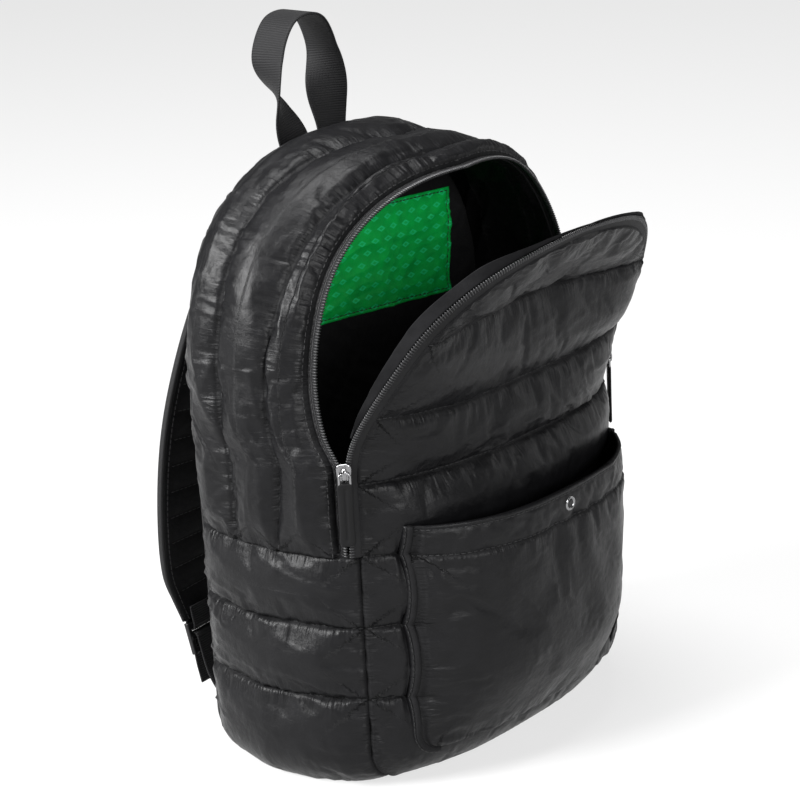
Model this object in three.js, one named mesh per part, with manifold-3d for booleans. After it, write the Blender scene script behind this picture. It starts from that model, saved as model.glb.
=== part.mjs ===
// Quilted puffer backpack. It stands on its base, stuffed, with its arched front panel unzipped and
// leaning forward, so that the main compartment and the mouth of the patch pocket are open.
// Millimetres. X runs to the right of someone who faces the front, Y from the front to the back, Z up.
// The origin is on the floor, under the middle of the body.
import * as THREE from 'three';
import Module from 'manifold-3d';
import { mergeVertices } from 'three/addons/utils/BufferGeometryUtils.js';

const wasm = await Module();
wasm.setup();

// The body: the seam outline of the front panel, seen from the front
const bodyDepth = 136; // from the front seam to the back seam
const seamHalfWidth = 138; // where the arch starts
const baseHalfWidth = 137; // just above the base corners
const archSpringZ = 244; // height where the sides turn into the arch
const seamTopZ = 404; // top of the arch
const archExponent = 2.5; // 2 is an ellipse, more is squarer
const baseSeamZ = 5; // height of the seam round the base
const baseCornerRadius = 24;
const frontSeamY = -bodyDepth / 2;
const backSeamY = bodyDepth / 2;

// Walls
const wall = 3; // flat fabric, wadding and lining at a seam
const clearance = 0.3; // between pieces that meet
const zipGap = 0.8; // between a zip's tape and the curved edge it is sewn to
const sidePuff = 5; // how far a channel of the sides stands out between its stitch lines
const frontPuff = 6.5; // the same for the front panel
const sideBulge = 16; // how far the stuffed sides bow out past the seams
const backFlare = 6; // how far the back seam lies outside the front seam
const shoulderFlare = 9; // how much squarer the back seam is at the shoulders
const slump = 0.85; // how much flatter the right shoulder lies than the left

// Seams and stitch lines, as heights on the standing bag
const sideSeamZ = 174; // seam between the upper and the lower side, where the zip ends
const lowerStitchZ = [122, 69]; // stitch lines round the lower side and the front
const flapStitchV = [225, 280, 342]; // stitch lines of the leaning flap, measured along the panel

// The leaning flap
const sliderZ = 236;
const foldBelowSlider = 8; // the front panel starts to lean a little below the sliders
const foldV = sliderZ - foldBelowSlider;
const leanTable = [
  { share: 0, angle: 0 },
  { share: 0.1, angle: 14 },
  { share: 0.22, angle: 26 },
  { share: 0.4, angle: 28 },
  { share: 0.6, angle: 31 },
  { share: 0.75, angle: 44 },
  { share: 0.9, angle: 60 },
  { share: 1, angle: 72 },
];
// How far the front panel bows out, as a share of the body's depth, up the panel
const frontBulgeTable = [
  { share: 0, bulge: 0.16 },
  { share: 0.08, bulge: 0.26 },
  { share: 0.22, bulge: 0.29 },
  { share: 0.41, bulge: 0.27 },
  { share: 0.54, bulge: 0.24 },
  { share: 0.68, bulge: 0.15 },
  { share: 0.84, bulge: 0.03 },
  { share: 1, bulge: 0 },
];
const flapWarp = 26; // how far the flap's shoulders bend forward against its middle
const bulgeExponent = 2.6; // how flat the middle of the front is

// The zip, whose body half gapes where the flap has pulled away from it
const tapeWidth = 8; // visible tape on each side of the teeth
const tapeThickness = 1.2;
const teethWidth = 4;
const teethThickness = 2.8;
const zipTurn = 36 * THREE.MathUtils.DEG2RAD; // how far the flap's tape turns from its panel to the sides
const facingDepth = 14; // band of lining behind the flap's zip, at its widest
const facingThickness = 3;
// How wide the band of lining is, from the slider to the top of the flap
const facingTable = [
  { share: 0, depth: 0.1 },
  { share: 0.15, depth: 0.6 },
  { share: 0.35, depth: 1 },
  { share: 0.6, depth: 0.95 },
  { share: 0.8, depth: 0.35 },
  { share: 1, depth: 0.1 },
];
// How far the teeth of the body half lie behind the closed zip, as a share of the depth
const gapeTable = [
  { share: 0, back: 0 },
  { share: 0.19, back: 0 },
  { share: 0.26, back: 0.09 },
  { share: 0.36, back: 0.145 },
  { share: 0.5, back: 0.16 },
  { share: 0.65, back: 0.145 },
  { share: 0.85, back: 0.06 },
  { share: 1, back: 0 },
];
// Where the two stitch lines of the upper side run, as shares of its width from front to back
const upperStitchTable = [
  { share: 0, front: 0.33, back: 0.64 },
  { share: 0.2, front: 0.29, back: 0.64 },
  { share: 0.45, front: 0.22, back: 0.64 },
  { share: 0.7, front: 0.16, back: 0.58 },
  { share: 1, front: 0.13, back: 0.4 },
];

// The patch pocket on the front
const pocketHalfWidth = 118;
const pocketBottomZ = 26;
const pocketTopZ = 194;
const pocketRoom = 18; // how far its middle stands off the front panel
const pocketWall = 2.4;
const pocketSeam = 1.2; // how far its sewn edges lie off the quilted panel
const pocketCornerRadius = 16;
// Gathers that fall from the pocket's hem beside the snap, as shares of its half width and its room
const gatherTable = [
  { across: -0.13, width: 0.07, depth: 0.12 },
  { across: 0.07, width: 0.055, depth: 0.16 },
  { across: 0.24, width: 0.06, depth: 0.14 },
  { across: 0.43, width: 0.08, depth: 0.1 },
];
const gatherLength = 62;
const hemDepth = 22;
const snapRadius = 5.5;
const snapThickness = 2;
const labelWidth = 24;
const labelHeight = 26;
const labelThickness = 0.8;
const labelBottomZ = 34;

// The back panel, the padded lining inside it and the patch of green lining on that
const backPanelThickness = 15;
const backPanelProud = 4; // how far it stands out of the back seam
const liningPadThickness = 18;
const patchHalfWidth = 100;
const patchBottomZ = 292;
const patchHeight = 78;
const patchTilt = 4 * THREE.MathUtils.DEG2RAD;
const patchThickness = 1;

// The carry loop
const webWidth = 30;
const webThickness = 2;
const loopHeight = 94; // above the seam that holds it
const loopFeet = 39; // from the middle of one foot to the middle of the other
const loopSpread = 58; // width of the loop at its widest
const loopLean = 15; // how far back its top leans
const loopTwist = 90; // degrees that each leg turns on its way up

// The shoulder straps
const strapWidth = 62;
const strapThickness = 9;
const strapTopZ = 380;
const strapReach = 62; // how far the middle of a strap stands off the back panel
// The strap's middle line: height as a share of strapTopZ, distance from the bag's middle as a
// share of seamHalfWidth, distance from the back as a share of strapReach, and width share
const strapTable = [
  { height: 1, out: 0.4, off: 0, width: 1 },
  { height: 0.97, out: 0.41, off: 0.07, width: 1 },
  { height: 0.92, out: 0.44, off: 0.24, width: 1 },
  { height: 0.84, out: 0.51, off: 0.42, width: 1 },
  { height: 0.7, out: 0.61, off: 0.64, width: 1 },
  { height: 0.57, out: 0.67, off: 0.8, width: 0.98 },
  { height: 0.42, out: 0.7, off: 0.91, width: 0.94 },
  { height: 0.29, out: 0.7, off: 0.97, width: 0.84 },
  { height: 0.235, out: 0.69, off: 0.95, width: 0.7 },
  { height: 0.185, out: 0.685, off: 0.88, width: 0.58 },
];
const lowerWebWidth = 25;
const lowerWebThickness = 1.6;
const buckleWidth = 33;
const buckleLength = 24;
const buckleBar = 4;
const buckleThickness = 4;
const loopLeg = 14; // how far the web that holds the buckle runs up the strap's end
const loopRise = 1.6; // how much the strap's end thickens along it
const anchorZ = 30; // height of the anchor's foot on the back panel
const anchorWidth = 48;
const anchorReach = 34; // how far the anchor stands off the back panel
const tailLength = 26; // free end of the webbing below the buckle

// The zip pulls
const sliderWidth = 11;
const sliderLength = 13;
const sliderPlate = 2.6;
const bridgeWidth = 3;
const bridgeHeight = 4.2;
const bridgeBar = 1.4;
const linkRadius = 0.9;
const linkReach = 9; // from the pivot to the top of the tab
const tabWidth = 12;
const tabLength = 44;
const tabThickness = 2.6;

// Mesh steps
const archSteps = 44;
const channelSteps = 3;
const frontColumns = 16;

const black = { color: 0x252527, roughness: 0.42, metalness: 0 };
const matteBlack = { color: 0x151517, roughness: 0.8, metalness: 0 };
const greenLining = { color: 0x0a7a35, roughness: 0.6, metalness: 0 };
const steel = { color: 0xb9bbbe, roughness: 0.25, metalness: 1 };

// The value of column `out` where column `by` is x: a smooth curve through a table's rows.
function along(table, by, out, x) {
  const last = table.length - 1;
  const rising = table[last][by] > table[0][by];
  const before = (row) => (rising ? row[by] <= x : row[by] >= x);
  let i = 0;
  while (i < last - 1 && before(table[i + 1])) i += 1;
  const slope = (k) => {
    const a = table[Math.max(k - 1, 0)];
    const b = table[Math.min(k + 1, last)];
    return (b[out] - a[out]) / (b[by] - a[by]);
  };
  const span = table[i + 1][by] - table[i][by];
  const t = THREE.MathUtils.clamp((x - table[i][by]) / span, 0, 1);
  const h01 = t * t * (3 - 2 * t);
  const h10 = t * (1 - t) * (1 - t);
  const h11 = t * t * (t - 1);
  return table[i][out] * (1 - h01) + table[i + 1][out] * h01 + span * (h10 * slope(i) + h11 * slope(i + 1));
}

// A channel between two stitch lines: 0 on the lines, 1 between them.
const puffed = (share) => Math.max(Math.sin(Math.PI * THREE.MathUtils.clamp(share, 0, 1)), 0) ** 0.6;

// 0 at an edge and 1 from `reach` away from it.
const fadeIn = (distance, reach) => THREE.MathUtils.smoothstep(distance, 0, reach);

// Half the width of the seam outline at a height.
function seamHalf(z) {
  const corner = baseSeamZ + baseCornerRadius;
  if (z < corner) {
    const drop = corner - Math.max(z, baseSeamZ);
    return baseHalfWidth - baseCornerRadius + Math.sqrt(baseCornerRadius ** 2 - drop ** 2);
  }
  if (z < archSpringZ) {
    return THREE.MathUtils.mapLinear(z, corner, archSpringZ, baseHalfWidth, seamHalfWidth);
  }
  const rise = Math.min((z - archSpringZ) / (seamTopZ - archSpringZ), 1);
  return seamHalfWidth * (1 - rise ** archExponent) ** (1 / archExponent);
}

// The seam outline as a closed line from the middle of the base, up the left side, over the arch and
// down the right side, with each point's distance along it and its outward direction.
function makeOutline() {
  const half = [];
  const base = baseHalfWidth - baseCornerRadius;
  const step = 2;
  for (let x = 0; x < base; x += step) half.push(new THREE.Vector2(-x, baseSeamZ));
  for (let a = 0; a < 90; a += 3) {
    const turn = a * THREE.MathUtils.DEG2RAD;
    half.push(new THREE.Vector2(
      -base - baseCornerRadius * Math.sin(turn),
      baseSeamZ + baseCornerRadius * (1 - Math.cos(turn)),
    ));
  }
  for (let z = baseSeamZ + baseCornerRadius; z < archSpringZ; z += step) {
    half.push(new THREE.Vector2(-seamHalf(z), z));
  }
  for (let a = 0; a <= 90; a += 1) {
    const turn = a * THREE.MathUtils.DEG2RAD;
    half.push(new THREE.Vector2(
      -seamHalfWidth * Math.max(Math.cos(turn), 0) ** (2 / archExponent),
      archSpringZ + (seamTopZ - archSpringZ) * Math.sin(turn) ** (2 / archExponent),
    ));
  }
  const right = half.slice(1, -1).reverse().map((p) => new THREE.Vector2(-p.x, p.y));
  const points = [...half, ...right, half[0].clone()];
  const lengths = [0];
  for (let i = 1; i < points.length; i += 1) {
    lengths.push(lengths[i - 1] + points[i].distanceTo(points[i - 1]));
  }
  return { points, lengths, total: lengths[lengths.length - 1] };
}
const outline = makeOutline();

function outlinePoint(s) {
  const at = THREE.MathUtils.euclideanModulo(s, outline.total);
  let i = 1;
  while (i < outline.lengths.length - 1 && outline.lengths[i] < at) i += 1;
  const span = outline.lengths[i] - outline.lengths[i - 1];
  return outline.points[i - 1].clone().lerp(outline.points[i], (at - outline.lengths[i - 1]) / span);
}

// A point of the seam outline and the outward direction there, from the points a little to each side.
function outlineAt(s) {
  const spread = 3;
  const tangent = outlinePoint(s + spread).sub(outlinePoint(s - spread)).normalize();
  const point = outlinePoint(s);
  return { x: point.x, z: point.y, nx: -tangent.y, nz: tangent.x };
}

// The distance along the outline where its left side reaches a height.
function leftDistance(z) {
  let low = 0;
  let high = outline.total / 2;
  while (high - low > 1e-4) {
    const middle = (low + high) / 2;
    if (outlinePoint(middle).y < z) low = middle;
    else high = middle;
  }
  return low;
}
const zipStart = leftDistance(sideSeamZ);
const zipLength = outline.total - 2 * zipStart;
const archDistance = (i) => zipStart + clearance / 2 + (zipLength - clearance) * i / archSteps;
const crownShare = (s) => 1 - Math.abs(2 * (s - zipStart) / zipLength - 1); // 0 at the zip's ends, 1 at its top

// Meshes

// A closed geometry from a list of points and faces. Points closer than a thousandth are one.
function closedGeometry(points, faces) {
  const geometry = new THREE.BufferGeometry();
  geometry.setAttribute('position', new THREE.Float32BufferAttribute(points.flatMap((p) => p.toArray()), 3));
  geometry.setIndex(faces.flat());
  const merged = mergeVertices(geometry, 1e-3);
  const index = [...merged.index.array];
  const kept = [];
  for (let i = 0; i < index.length; i += 3) {
    const [a, b, c] = index.slice(i, i + 3);
    if (a !== b && b !== c && c !== a) kept.push(a, b, c);
  }
  merged.setIndex(kept);
  return facingOut(merged);
}

// Turns every face round if the geometry encloses a negative volume.
function facingOut(geometry) {
  const p = geometry.getAttribute('position');
  const index = [...geometry.index.array];
  const corner = (i) => new THREE.Vector3().fromBufferAttribute(p, i);
  let volume = 0;
  for (let i = 0; i < index.length; i += 3) {
    volume += corner(index[i]).dot(corner(index[i + 1]).cross(corner(index[i + 2])));
  }
  if (volume < 0) {
    for (let i = 0; i < index.length; i += 3) [index[i], index[i + 1]] = [index[i + 1], index[i]];
    geometry.setIndex(index);
  }
  return geometry;
}

// A wall between two grids of points, outer(i, j) and inner(i, j), closed round its rim.
function shell(rows, columns, outer, inner) {
  const points = [];
  const faces = [];
  const size = (rows + 1) * (columns + 1);
  const at = (side, i, j) => side * size + i * (columns + 1) + j;
  for (const side of [outer, inner]) {
    for (let i = 0; i <= rows; i += 1) {
      for (let j = 0; j <= columns; j += 1) points.push(side(i, j));
    }
  }
  const quad = (a, b, c, d) => faces.push([a, b, c], [a, c, d]);
  for (let i = 0; i < rows; i += 1) {
    for (let j = 0; j < columns; j += 1) {
      quad(at(0, i, j), at(0, i + 1, j), at(0, i + 1, j + 1), at(0, i, j + 1));
      quad(at(1, i, j), at(1, i, j + 1), at(1, i + 1, j + 1), at(1, i + 1, j));
    }
  }
  for (let i = 0; i < rows; i += 1) {
    quad(at(0, i, 0), at(1, i, 0), at(1, i + 1, 0), at(0, i + 1, 0));
    quad(at(0, i, columns), at(0, i + 1, columns), at(1, i + 1, columns), at(1, i, columns));
  }
  for (let j = 0; j < columns; j += 1) {
    quad(at(0, 0, j), at(0, 0, j + 1), at(1, 0, j + 1), at(1, 0, j));
    quad(at(0, rows, j), at(1, rows, j), at(1, rows, j + 1), at(0, rows, j + 1));
  }
  return closedGeometry(points, faces);
}

// A bar through a list of sections, each a ring of as many points, with flat ends.
function bar(sections) {
  const n = sections[0].length;
  const faces = [];
  sections.slice(1).forEach((_, k) => {
    for (let j = 0; j < n; j += 1) {
      const a = k * n + j;
      const b = k * n + (j + 1) % n;
      faces.push([a, b, b + n], [a, b + n, a + n]);
    }
  });
  const end = (sections.length - 1) * n;
  for (let j = 1; j < n - 1; j += 1) {
    faces.push([0, j + 1, j], [end, end + j, end + j + 1]);
  }
  return closedGeometry(sections.flat(), faces);
}

// A flat band along a list of stations, each with a point, a direction across and a direction out.
function band(stations, width, thickness) {
  return bar(stations.map(({ point, across, out, share = 1 }) => {
    const w = width * share / 2;
    const h = thickness / 2;
    return [[-w, -h], [w, -h], [w, h], [-w, h]].map(([a, b]) => (
      point.clone().addScaledVector(across, a).addScaledVector(out, b)
    ));
  }));
}

function solidOf(geometry) {
  const bare = geometry.clone();
  bare.deleteAttribute('normal');
  bare.deleteAttribute('uv');
  const merged = mergeVertices(bare, 1e-3);
  return new wasm.Manifold(new wasm.Mesh({
    numProp: 3,
    vertProperties: new Float32Array(merged.attributes.position.array),
    triVerts: new Uint32Array(merged.index.array),
  }));
}

function geometryOf(solid) {
  const mesh = solid.getMesh();
  const geometry = new THREE.BufferGeometry();
  geometry.setAttribute('position', new THREE.Float32BufferAttribute([...mesh.vertProperties], 3));
  geometry.setIndex([...mesh.triVerts]);
  return geometry;
}

const joined = (...geometries) => geometryOf(
  geometries.map(solidOf).reduce((sum, next) => sum.add(next)),
);

function named(name, geometry, finish) {
  const mesh = new THREE.Mesh(geometry, new THREE.MeshStandardMaterial(finish));
  mesh.name = name;
  return mesh;
}

// The front panel, a sheet with its own height v up the panel that bends forward above foldV

function makeSpine() {
  const step = 2;
  const reach = seamTopZ - foldV;
  const spine = [{ v: foldV, y: frontSeamY, z: foldV }];
  for (let v = foldV; v < seamTopZ + step; v += step) {
    const lean = along(leanTable, 'share', 'angle', (v + step / 2 - foldV) / reach) * THREE.MathUtils.DEG2RAD;
    const from = spine[spine.length - 1];
    spine.push({ v: v + step, y: from.y - step * Math.sin(lean), z: from.z + step * Math.cos(lean) });
  }
  return spine;
}
const spine = makeSpine();

function spineAt(v) {
  if (v <= foldV) return { y: frontSeamY, z: v, lean: 0 };
  const i = Math.min(Math.floor((v - foldV) / (spine[1].v - spine[0].v)), spine.length - 2);
  const [a, b] = [spine[i], spine[i + 1]];
  const t = (v - a.v) / (b.v - a.v);
  return {
    y: THREE.MathUtils.lerp(a.y, b.y, t),
    z: THREE.MathUtils.lerp(a.z, b.z, t),
    lean: along(leanTable, 'share', 'angle', (v - foldV) / (seamTopZ - foldV)) * THREE.MathUtils.DEG2RAD,
  };
}

// How far the front panel's sheet bows out at a place on it.
function frontBulge(x, v) {
  const up = (v - baseSeamZ) / (seamTopZ - baseSeamZ);
  const across = Math.min(Math.abs(x) / seamHalf(v), 1);
  return bodyDepth * along(frontBulgeTable, 'share', 'bulge', up) * (1 - across ** bulgeExponent);
}

// A point of the front panel's sheet, and `out` in front of it.
function frontSheet(x, v, out) {
  const at = spineAt(v);
  const bend = ((x / seamHalfWidth) ** 2 - 0.35) * flapWarp * fadeIn(v - foldV, seamTopZ - foldV);
  const forward = frontBulge(x, v) + bend + out;
  return new THREE.Vector3(x, at.y - forward * Math.cos(at.lean), at.z - forward * Math.sin(at.lean));
}

const frontLines = [baseSeamZ, ...[...lowerStitchZ].reverse(), sideSeamZ, ...flapStitchV, seamTopZ];

// How far the wadding stands out of the front panel's sheet at a place on it.
function frontPuffAt(x, v) {
  const i = Math.max(frontLines.findIndex((line) => line > v), 1);
  const share = (v - frontLines[i - 1]) / (frontLines[i] - frontLines[i - 1]);
  const toEdge = seamHalf(v) - Math.abs(x);
  return frontPuff * puffed(share) * fadeIn(toEdge, 24);
}

// The heights of the steps round a base corner, from the bottom up.
function cornerHeights() {
  const steps = 5;
  return Array.from({ length: steps + 1 }, (_, k) => (
    baseSeamZ + baseCornerRadius * (1 - Math.cos(Math.PI / 2 * k / steps))
  ));
}

// The rows of the front panel: the steps round the base corners, then each channel in equal steps,
// and more of them where the arch closes.
function frontRows() {
  const rows = cornerHeights();
  frontLines.slice(2).forEach((line, i) => {
    const crown = i === frontLines.length - 3;
    const steps = crown ? 2 * channelSteps : channelSteps;
    for (let k = 0; k < steps; k += 1) {
      const share = crown ? Math.sin(Math.PI / 2 * k / steps) : k / steps;
      rows.push(THREE.MathUtils.lerp(frontLines[i + 1], line, share));
    }
  });
  return [...rows, seamTopZ - 0.4];
}

function makeFrontPanel() {
  const rows = frontRows();
  const columns = frontColumns;
  const spread = (j) => Math.sin(Math.PI / 2 * (2 * j / columns - 1));
  const side = (out) => (i, j) => {
    const v = rows[i];
    const x = spread(j) * seamHalf(v);
    return frontSheet(x, v, out(x, v));
  };
  const outer = side((x, v) => wall + clearance + frontPuffAt(x, v));
  const inner = side(() => clearance);
  return named('front_panel', shell(rows.length - 1, columns, outer, inner), black);
}

// The sides, which follow the seam outline from the front edge (t = 0) to the back seam (t = 1)

function sideOffset(s, t, start) {
  const { x, z, nx, nz } = outlineAt(s);
  const square = z > archSpringZ ? 2 * Math.abs(nx * nz) * shoulderFlare : 0;
  const skewed = t ** THREE.MathUtils.lerp(1, 1.35, fadeIn(z - archSpringZ, seamTopZ - archSpringZ));
  const slumped = fadeIn(x, seamHalfWidth / 2) * fadeIn(z - archSpringZ, (seamTopZ - archSpringZ) / 2);
  const bow = sideBulge * (1 - slump * slumped) * Math.max(Math.sin(Math.PI * skewed), 0) ** 0.7;
  return start * (1 - t) ** 2 + (backFlare + square) * t + bow;
}

// A point of a side, `out` outside its sheet. The base is pressed flat on the floor.
function sidePoint(s, t, frontY, start, out) {
  const { x, z, nx, nz } = outlineAt(s);
  const offset = sideOffset(s, t, start) + out;
  const y = THREE.MathUtils.lerp(frontY, backSeamY, t);
  return new THREE.Vector3(x + nx * offset, y, Math.max(z + nz * offset, Math.max(-out, 0)));
}

// The closed zip's teeth lie `teethOffset` outside the seam outline, and those of the body half
// behind those of the flap half.
const teethOffset = tapeWidth * Math.cos(zipTurn);
const upperEdge = teethOffset + wall / 2; // offset of the upper side's front edge
const flapTeethY = frontSeamY - clearance - wall / 2 + tapeWidth * Math.sin(zipTurn);
const closedTeethY = flapTeethY + teethThickness / 2 * Math.cos(zipTurn) + clearance;
const teethY = (s) => (
  closedTeethY + bodyDepth * Math.max(along(gapeTable, 'share', 'back', crownShare(s)), 0)
);

function makeUpperSide() {
  const columns = 3 * channelSteps;
  const place = (i, j) => {
    const s = archDistance(i);
    const share = crownShare(s);
    const lines = [
      0,
      along(upperStitchTable, 'share', 'front', share),
      along(upperStitchTable, 'share', 'back', share),
      1,
    ];
    const k = Math.min(Math.floor(j / channelSteps), 2);
    const c = j / channelSteps - k;
    const toSeam = Math.min(s - zipStart, zipStart + zipLength - s);
    return {
      s,
      t: THREE.MathUtils.lerp(lines[k], lines[k + 1], c),
      puff: sidePuff * puffed(c) * fadeIn(toSeam, 20),
      frontY: teethY(s) + tapeWidth,
    };
  };
  const outer = (i, j) => {
    const p = place(i, j);
    return sidePoint(p.s, p.t, p.frontY, upperEdge, p.puff);
  };
  const inner = (i, j) => {
    const p = place(i, j);
    return sidePoint(p.s, p.t, p.frontY, upperEdge, -wall);
  };
  return named('upper_side', shell(archSteps, columns, outer, inner), black);
}

// The lower side and the base: one strip from side seam to side seam, under the bag.
function makeLowerSide() {
  const gap = clearance / 2;
  const heights = [sideSeamZ, ...lowerStitchZ, baseSeamZ + baseCornerRadius];
  const stations = [];
  heights.slice(1).forEach((low, i) => {
    const steps = i === heights.length - 2 ? 1 : channelSteps;
    const end = i === heights.length - 2 ? baseSeamZ : low;
    for (let k = 0; k < steps; k += 1) {
      const z = THREE.MathUtils.lerp(heights[i], low, k / steps);
      stations.push({
        s: leftDistance(z) - (stations.length ? 0 : gap),
        share: (heights[i] - z) / (heights[i] - end),
      });
    }
  });
  const last = heights[heights.length - 2];
  cornerHeights().slice(1).reverse().forEach((z) => {
    stations.push({ s: leftDistance(z), share: (last - z) / (last - baseSeamZ) });
  });
  const flat = baseHalfWidth - baseCornerRadius;
  const baseSteps = 4;
  for (let k = 0; k <= baseSteps; k += 1) stations.push({ s: flat * (1 - k / baseSteps), share: 0 });
  const mirrored = stations.slice(0, -1).reverse().map((st) => ({ ...st, s: -st.s }));
  const strip = [...stations, ...mirrored];
  const columns = 8;
  const place = (i, j) => {
    const { s, share } = strip[i];
    const { x, z, nx } = outlineAt(s);
    const t = (1 - Math.cos(Math.PI * j / columns)) / 2;
    const under = 1 - THREE.MathUtils.smoothstep(z, baseSeamZ, baseSeamZ + baseCornerRadius);
    return {
      s,
      t,
      puff: Math.abs(nx) * sidePuff * puffed(share) * fadeIn(Math.min(t, 1 - t), 0.14),
      frontY: frontSeamY - under * frontBulge(x, baseSeamZ),
    };
  };
  const side = (out) => (i, j) => {
    const p = place(i, j);
    return sidePoint(p.s, p.t, p.frontY, 0, out(p));
  };
  return named('lower_side', shell(strip.length - 1, columns, side((p) => p.puff), side(() => -wall)), black);
}

// The back panel, a padded plate that fills the back seam, with the padded lining inside it

function padOf(name, inset, floor, thickness, faceY, finish) {
  const steps = 56;
  const shape = new THREE.Shape(Array.from({ length: steps }, (_, i) => {
    const s = outline.total * i / steps;
    const { x, z, nx, nz } = outlineAt(s);
    const offset = sideOffset(s, 1, 0) - inset;
    return new THREE.Vector2(x + nx * offset, Math.max(z + nz * offset, floor));
  }));
  const bevel = 2.5;
  const geometry = new THREE.ExtrudeGeometry(shape, {
    depth: thickness - 2 * bevel,
    bevelThickness: bevel,
    bevelSize: bevel,
    bevelOffset: -bevel,
    bevelSegments: 1,
  });
  const pad = named(name, geometry, finish);
  pad.rotation.x = Math.PI / 2;
  pad.position.y = faceY - bevel;
  return pad;
}

const backInset = wall + 3 * clearance;
const backFaceY = backSeamY + backPanelProud;
const liningFaceY = backFaceY - backPanelThickness - clearance - liningPadThickness;

const makeBackPanel = () => (
  padOf('back_panel', backInset, wall + clearance, backPanelThickness, backFaceY, matteBlack)
);

const makeLiningPad = () => padOf(
  'back_lining',
  backInset + wall,
  wall + clearance,
  liningPadThickness,
  liningFaceY + liningPadThickness,
  matteBlack,
);

function makePatch() {
  const geometry = new THREE.BoxGeometry(2 * patchHalfWidth, patchThickness, patchHeight);
  const patch = named('lining_patch', geometry, greenLining);
  patch.position.set(0, liningFaceY - clearance - patchThickness / 2, patchBottomZ + patchHeight / 2);
  patch.rotation.y = -patchTilt;
  return patch;
}

// The pocket

const panelFace = (x, z) => wall + clearance + frontPuffAt(x, z);

function pocketHalf(z) {
  const drop = Math.max(pocketBottomZ + pocketCornerRadius - z, 0);
  const corner = pocketCornerRadius - Math.sqrt(Math.max(pocketCornerRadius ** 2 - drop ** 2, 0));
  return pocketHalfWidth - corner;
}

// How far the pocket's sheet stands in front of the front panel's sheet.
function pocketStand(x, z) {
  const across = Math.min(Math.abs(x) / pocketHalf(z), 1);
  const up = (z - pocketBottomZ) / (pocketTopZ - pocketBottomZ);
  const room = pocketRoom * (0.8 + 0.5 * up) * fadeIn(up, 0.35) * (1 - across ** 4);
  const sewn = Math.min(fadeIn(pocketHalf(z) - Math.abs(x), 26), fadeIn(z - pocketBottomZ, 26));
  const drop = pocketTopZ - hemDepth / 2 - z;
  const hang = fadeIn(drop, hemDepth / 2) * (1 - fadeIn(drop, gatherLength));
  const gather = gatherTable.reduce((sum, { across: middle, width, depth }) => (
    sum + depth * Math.exp(-(((x / pocketHalfWidth - middle) / width) ** 2))
  ), 0);
  const panel = panelFace(x, z);
  const smooth = wall + clearance + frontPuff;
  return THREE.MathUtils.lerp(panel, smooth, sewn) + pocketSeam + room - pocketRoom * gather * hang;
}

const pocketPoint = (x, z, out) => frontSheet(x, z, pocketStand(x, z) + out);

function makePocket() {
  const rows = [0, 0.03, 0.07, 0.14, 0.26, 0.4, 0.55, 0.66, 0.76, 1 - hemDepth / (pocketTopZ - pocketBottomZ) - 0.03];
  const hem = 1 - hemDepth / (pocketTopZ - pocketBottomZ);
  rows.push(hem, hem + 0.03, 1);
  const columns = 28;
  const groove = (i) => (rows[i] === hem ? 0 : 0.8);
  const side = (out) => (i, j) => {
    const z = THREE.MathUtils.lerp(pocketBottomZ, pocketTopZ, rows[i]);
    const x = Math.sin(Math.PI / 2 * (2 * j / columns - 1)) * pocketHalf(z);
    return pocketPoint(x, z, out(i));
  };
  const outer = side((i) => pocketWall + groove(i));
  return named('pocket', shell(rows.length - 1, columns, outer, side(() => 0)), black);
}

// Places a piece flat on a point of the pocket, facing away from it.
function onPocket(piece, x, z, out) {
  const reach = 4;
  const point = pocketPoint(x, z, out);
  const right = pocketPoint(x + reach, z, out).sub(pocketPoint(x - reach, z, out)).normalize();
  const up = pocketPoint(x, z + reach, out).sub(pocketPoint(x, z - reach, out)).normalize();
  const face = right.clone().cross(up).normalize();
  piece.position.copy(point);
  piece.quaternion.setFromRotationMatrix(
    new THREE.Matrix4().makeBasis(right, face.clone().cross(right), face),
  );
  return piece;
}

function makeSnap() {
  const profile = [
    [0, 0], [snapRadius, 0], [snapRadius, snapThickness * 0.6], [snapRadius * 0.86, snapThickness],
    [snapRadius * 0.66, snapThickness], [snapRadius * 0.5, snapThickness * 0.55], [0, snapThickness * 0.55],
  ].map(([r, h]) => new THREE.Vector2(r, h));
  const geometry = new THREE.LatheGeometry(profile, 20);
  geometry.rotateX(Math.PI / 2);
  const stand = pocketWall + 0.8 + 1.5 * clearance;
  return onPocket(named('snap', geometry, steel), 0, pocketTopZ - hemDepth * 0.5, stand);
}

function makeLabel() {
  const right = pocketHalfWidth - 1;
  const base = pocketWall + 0.8 + clearance;
  const steps = 5;
  const side = (out) => (i, j) => pocketPoint(
    right - labelWidth * (1 - j / steps),
    labelBottomZ + labelHeight * i / steps,
    out,
  );
  return named('label', shell(steps, steps, side(base + labelThickness), side(base)), matteBlack);
}

// The zip halves

const zipSection = (from, to, out) => {
  const across = to.clone().sub(from).normalize();
  const length = from.distanceTo(to);
  const h = tapeThickness / 2;
  const r = teethThickness / 2;
  const knots = [
    [zipGap, -h], [length - teethWidth, -h], [length - teethWidth, -r], [length, -r],
    [length, r], [length - teethWidth, r], [length - teethWidth, h], [zipGap, h],
  ];
  return knots.map(([a, b]) => from.clone().addScaledVector(across, a).addScaledVector(out, b));
};

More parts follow.
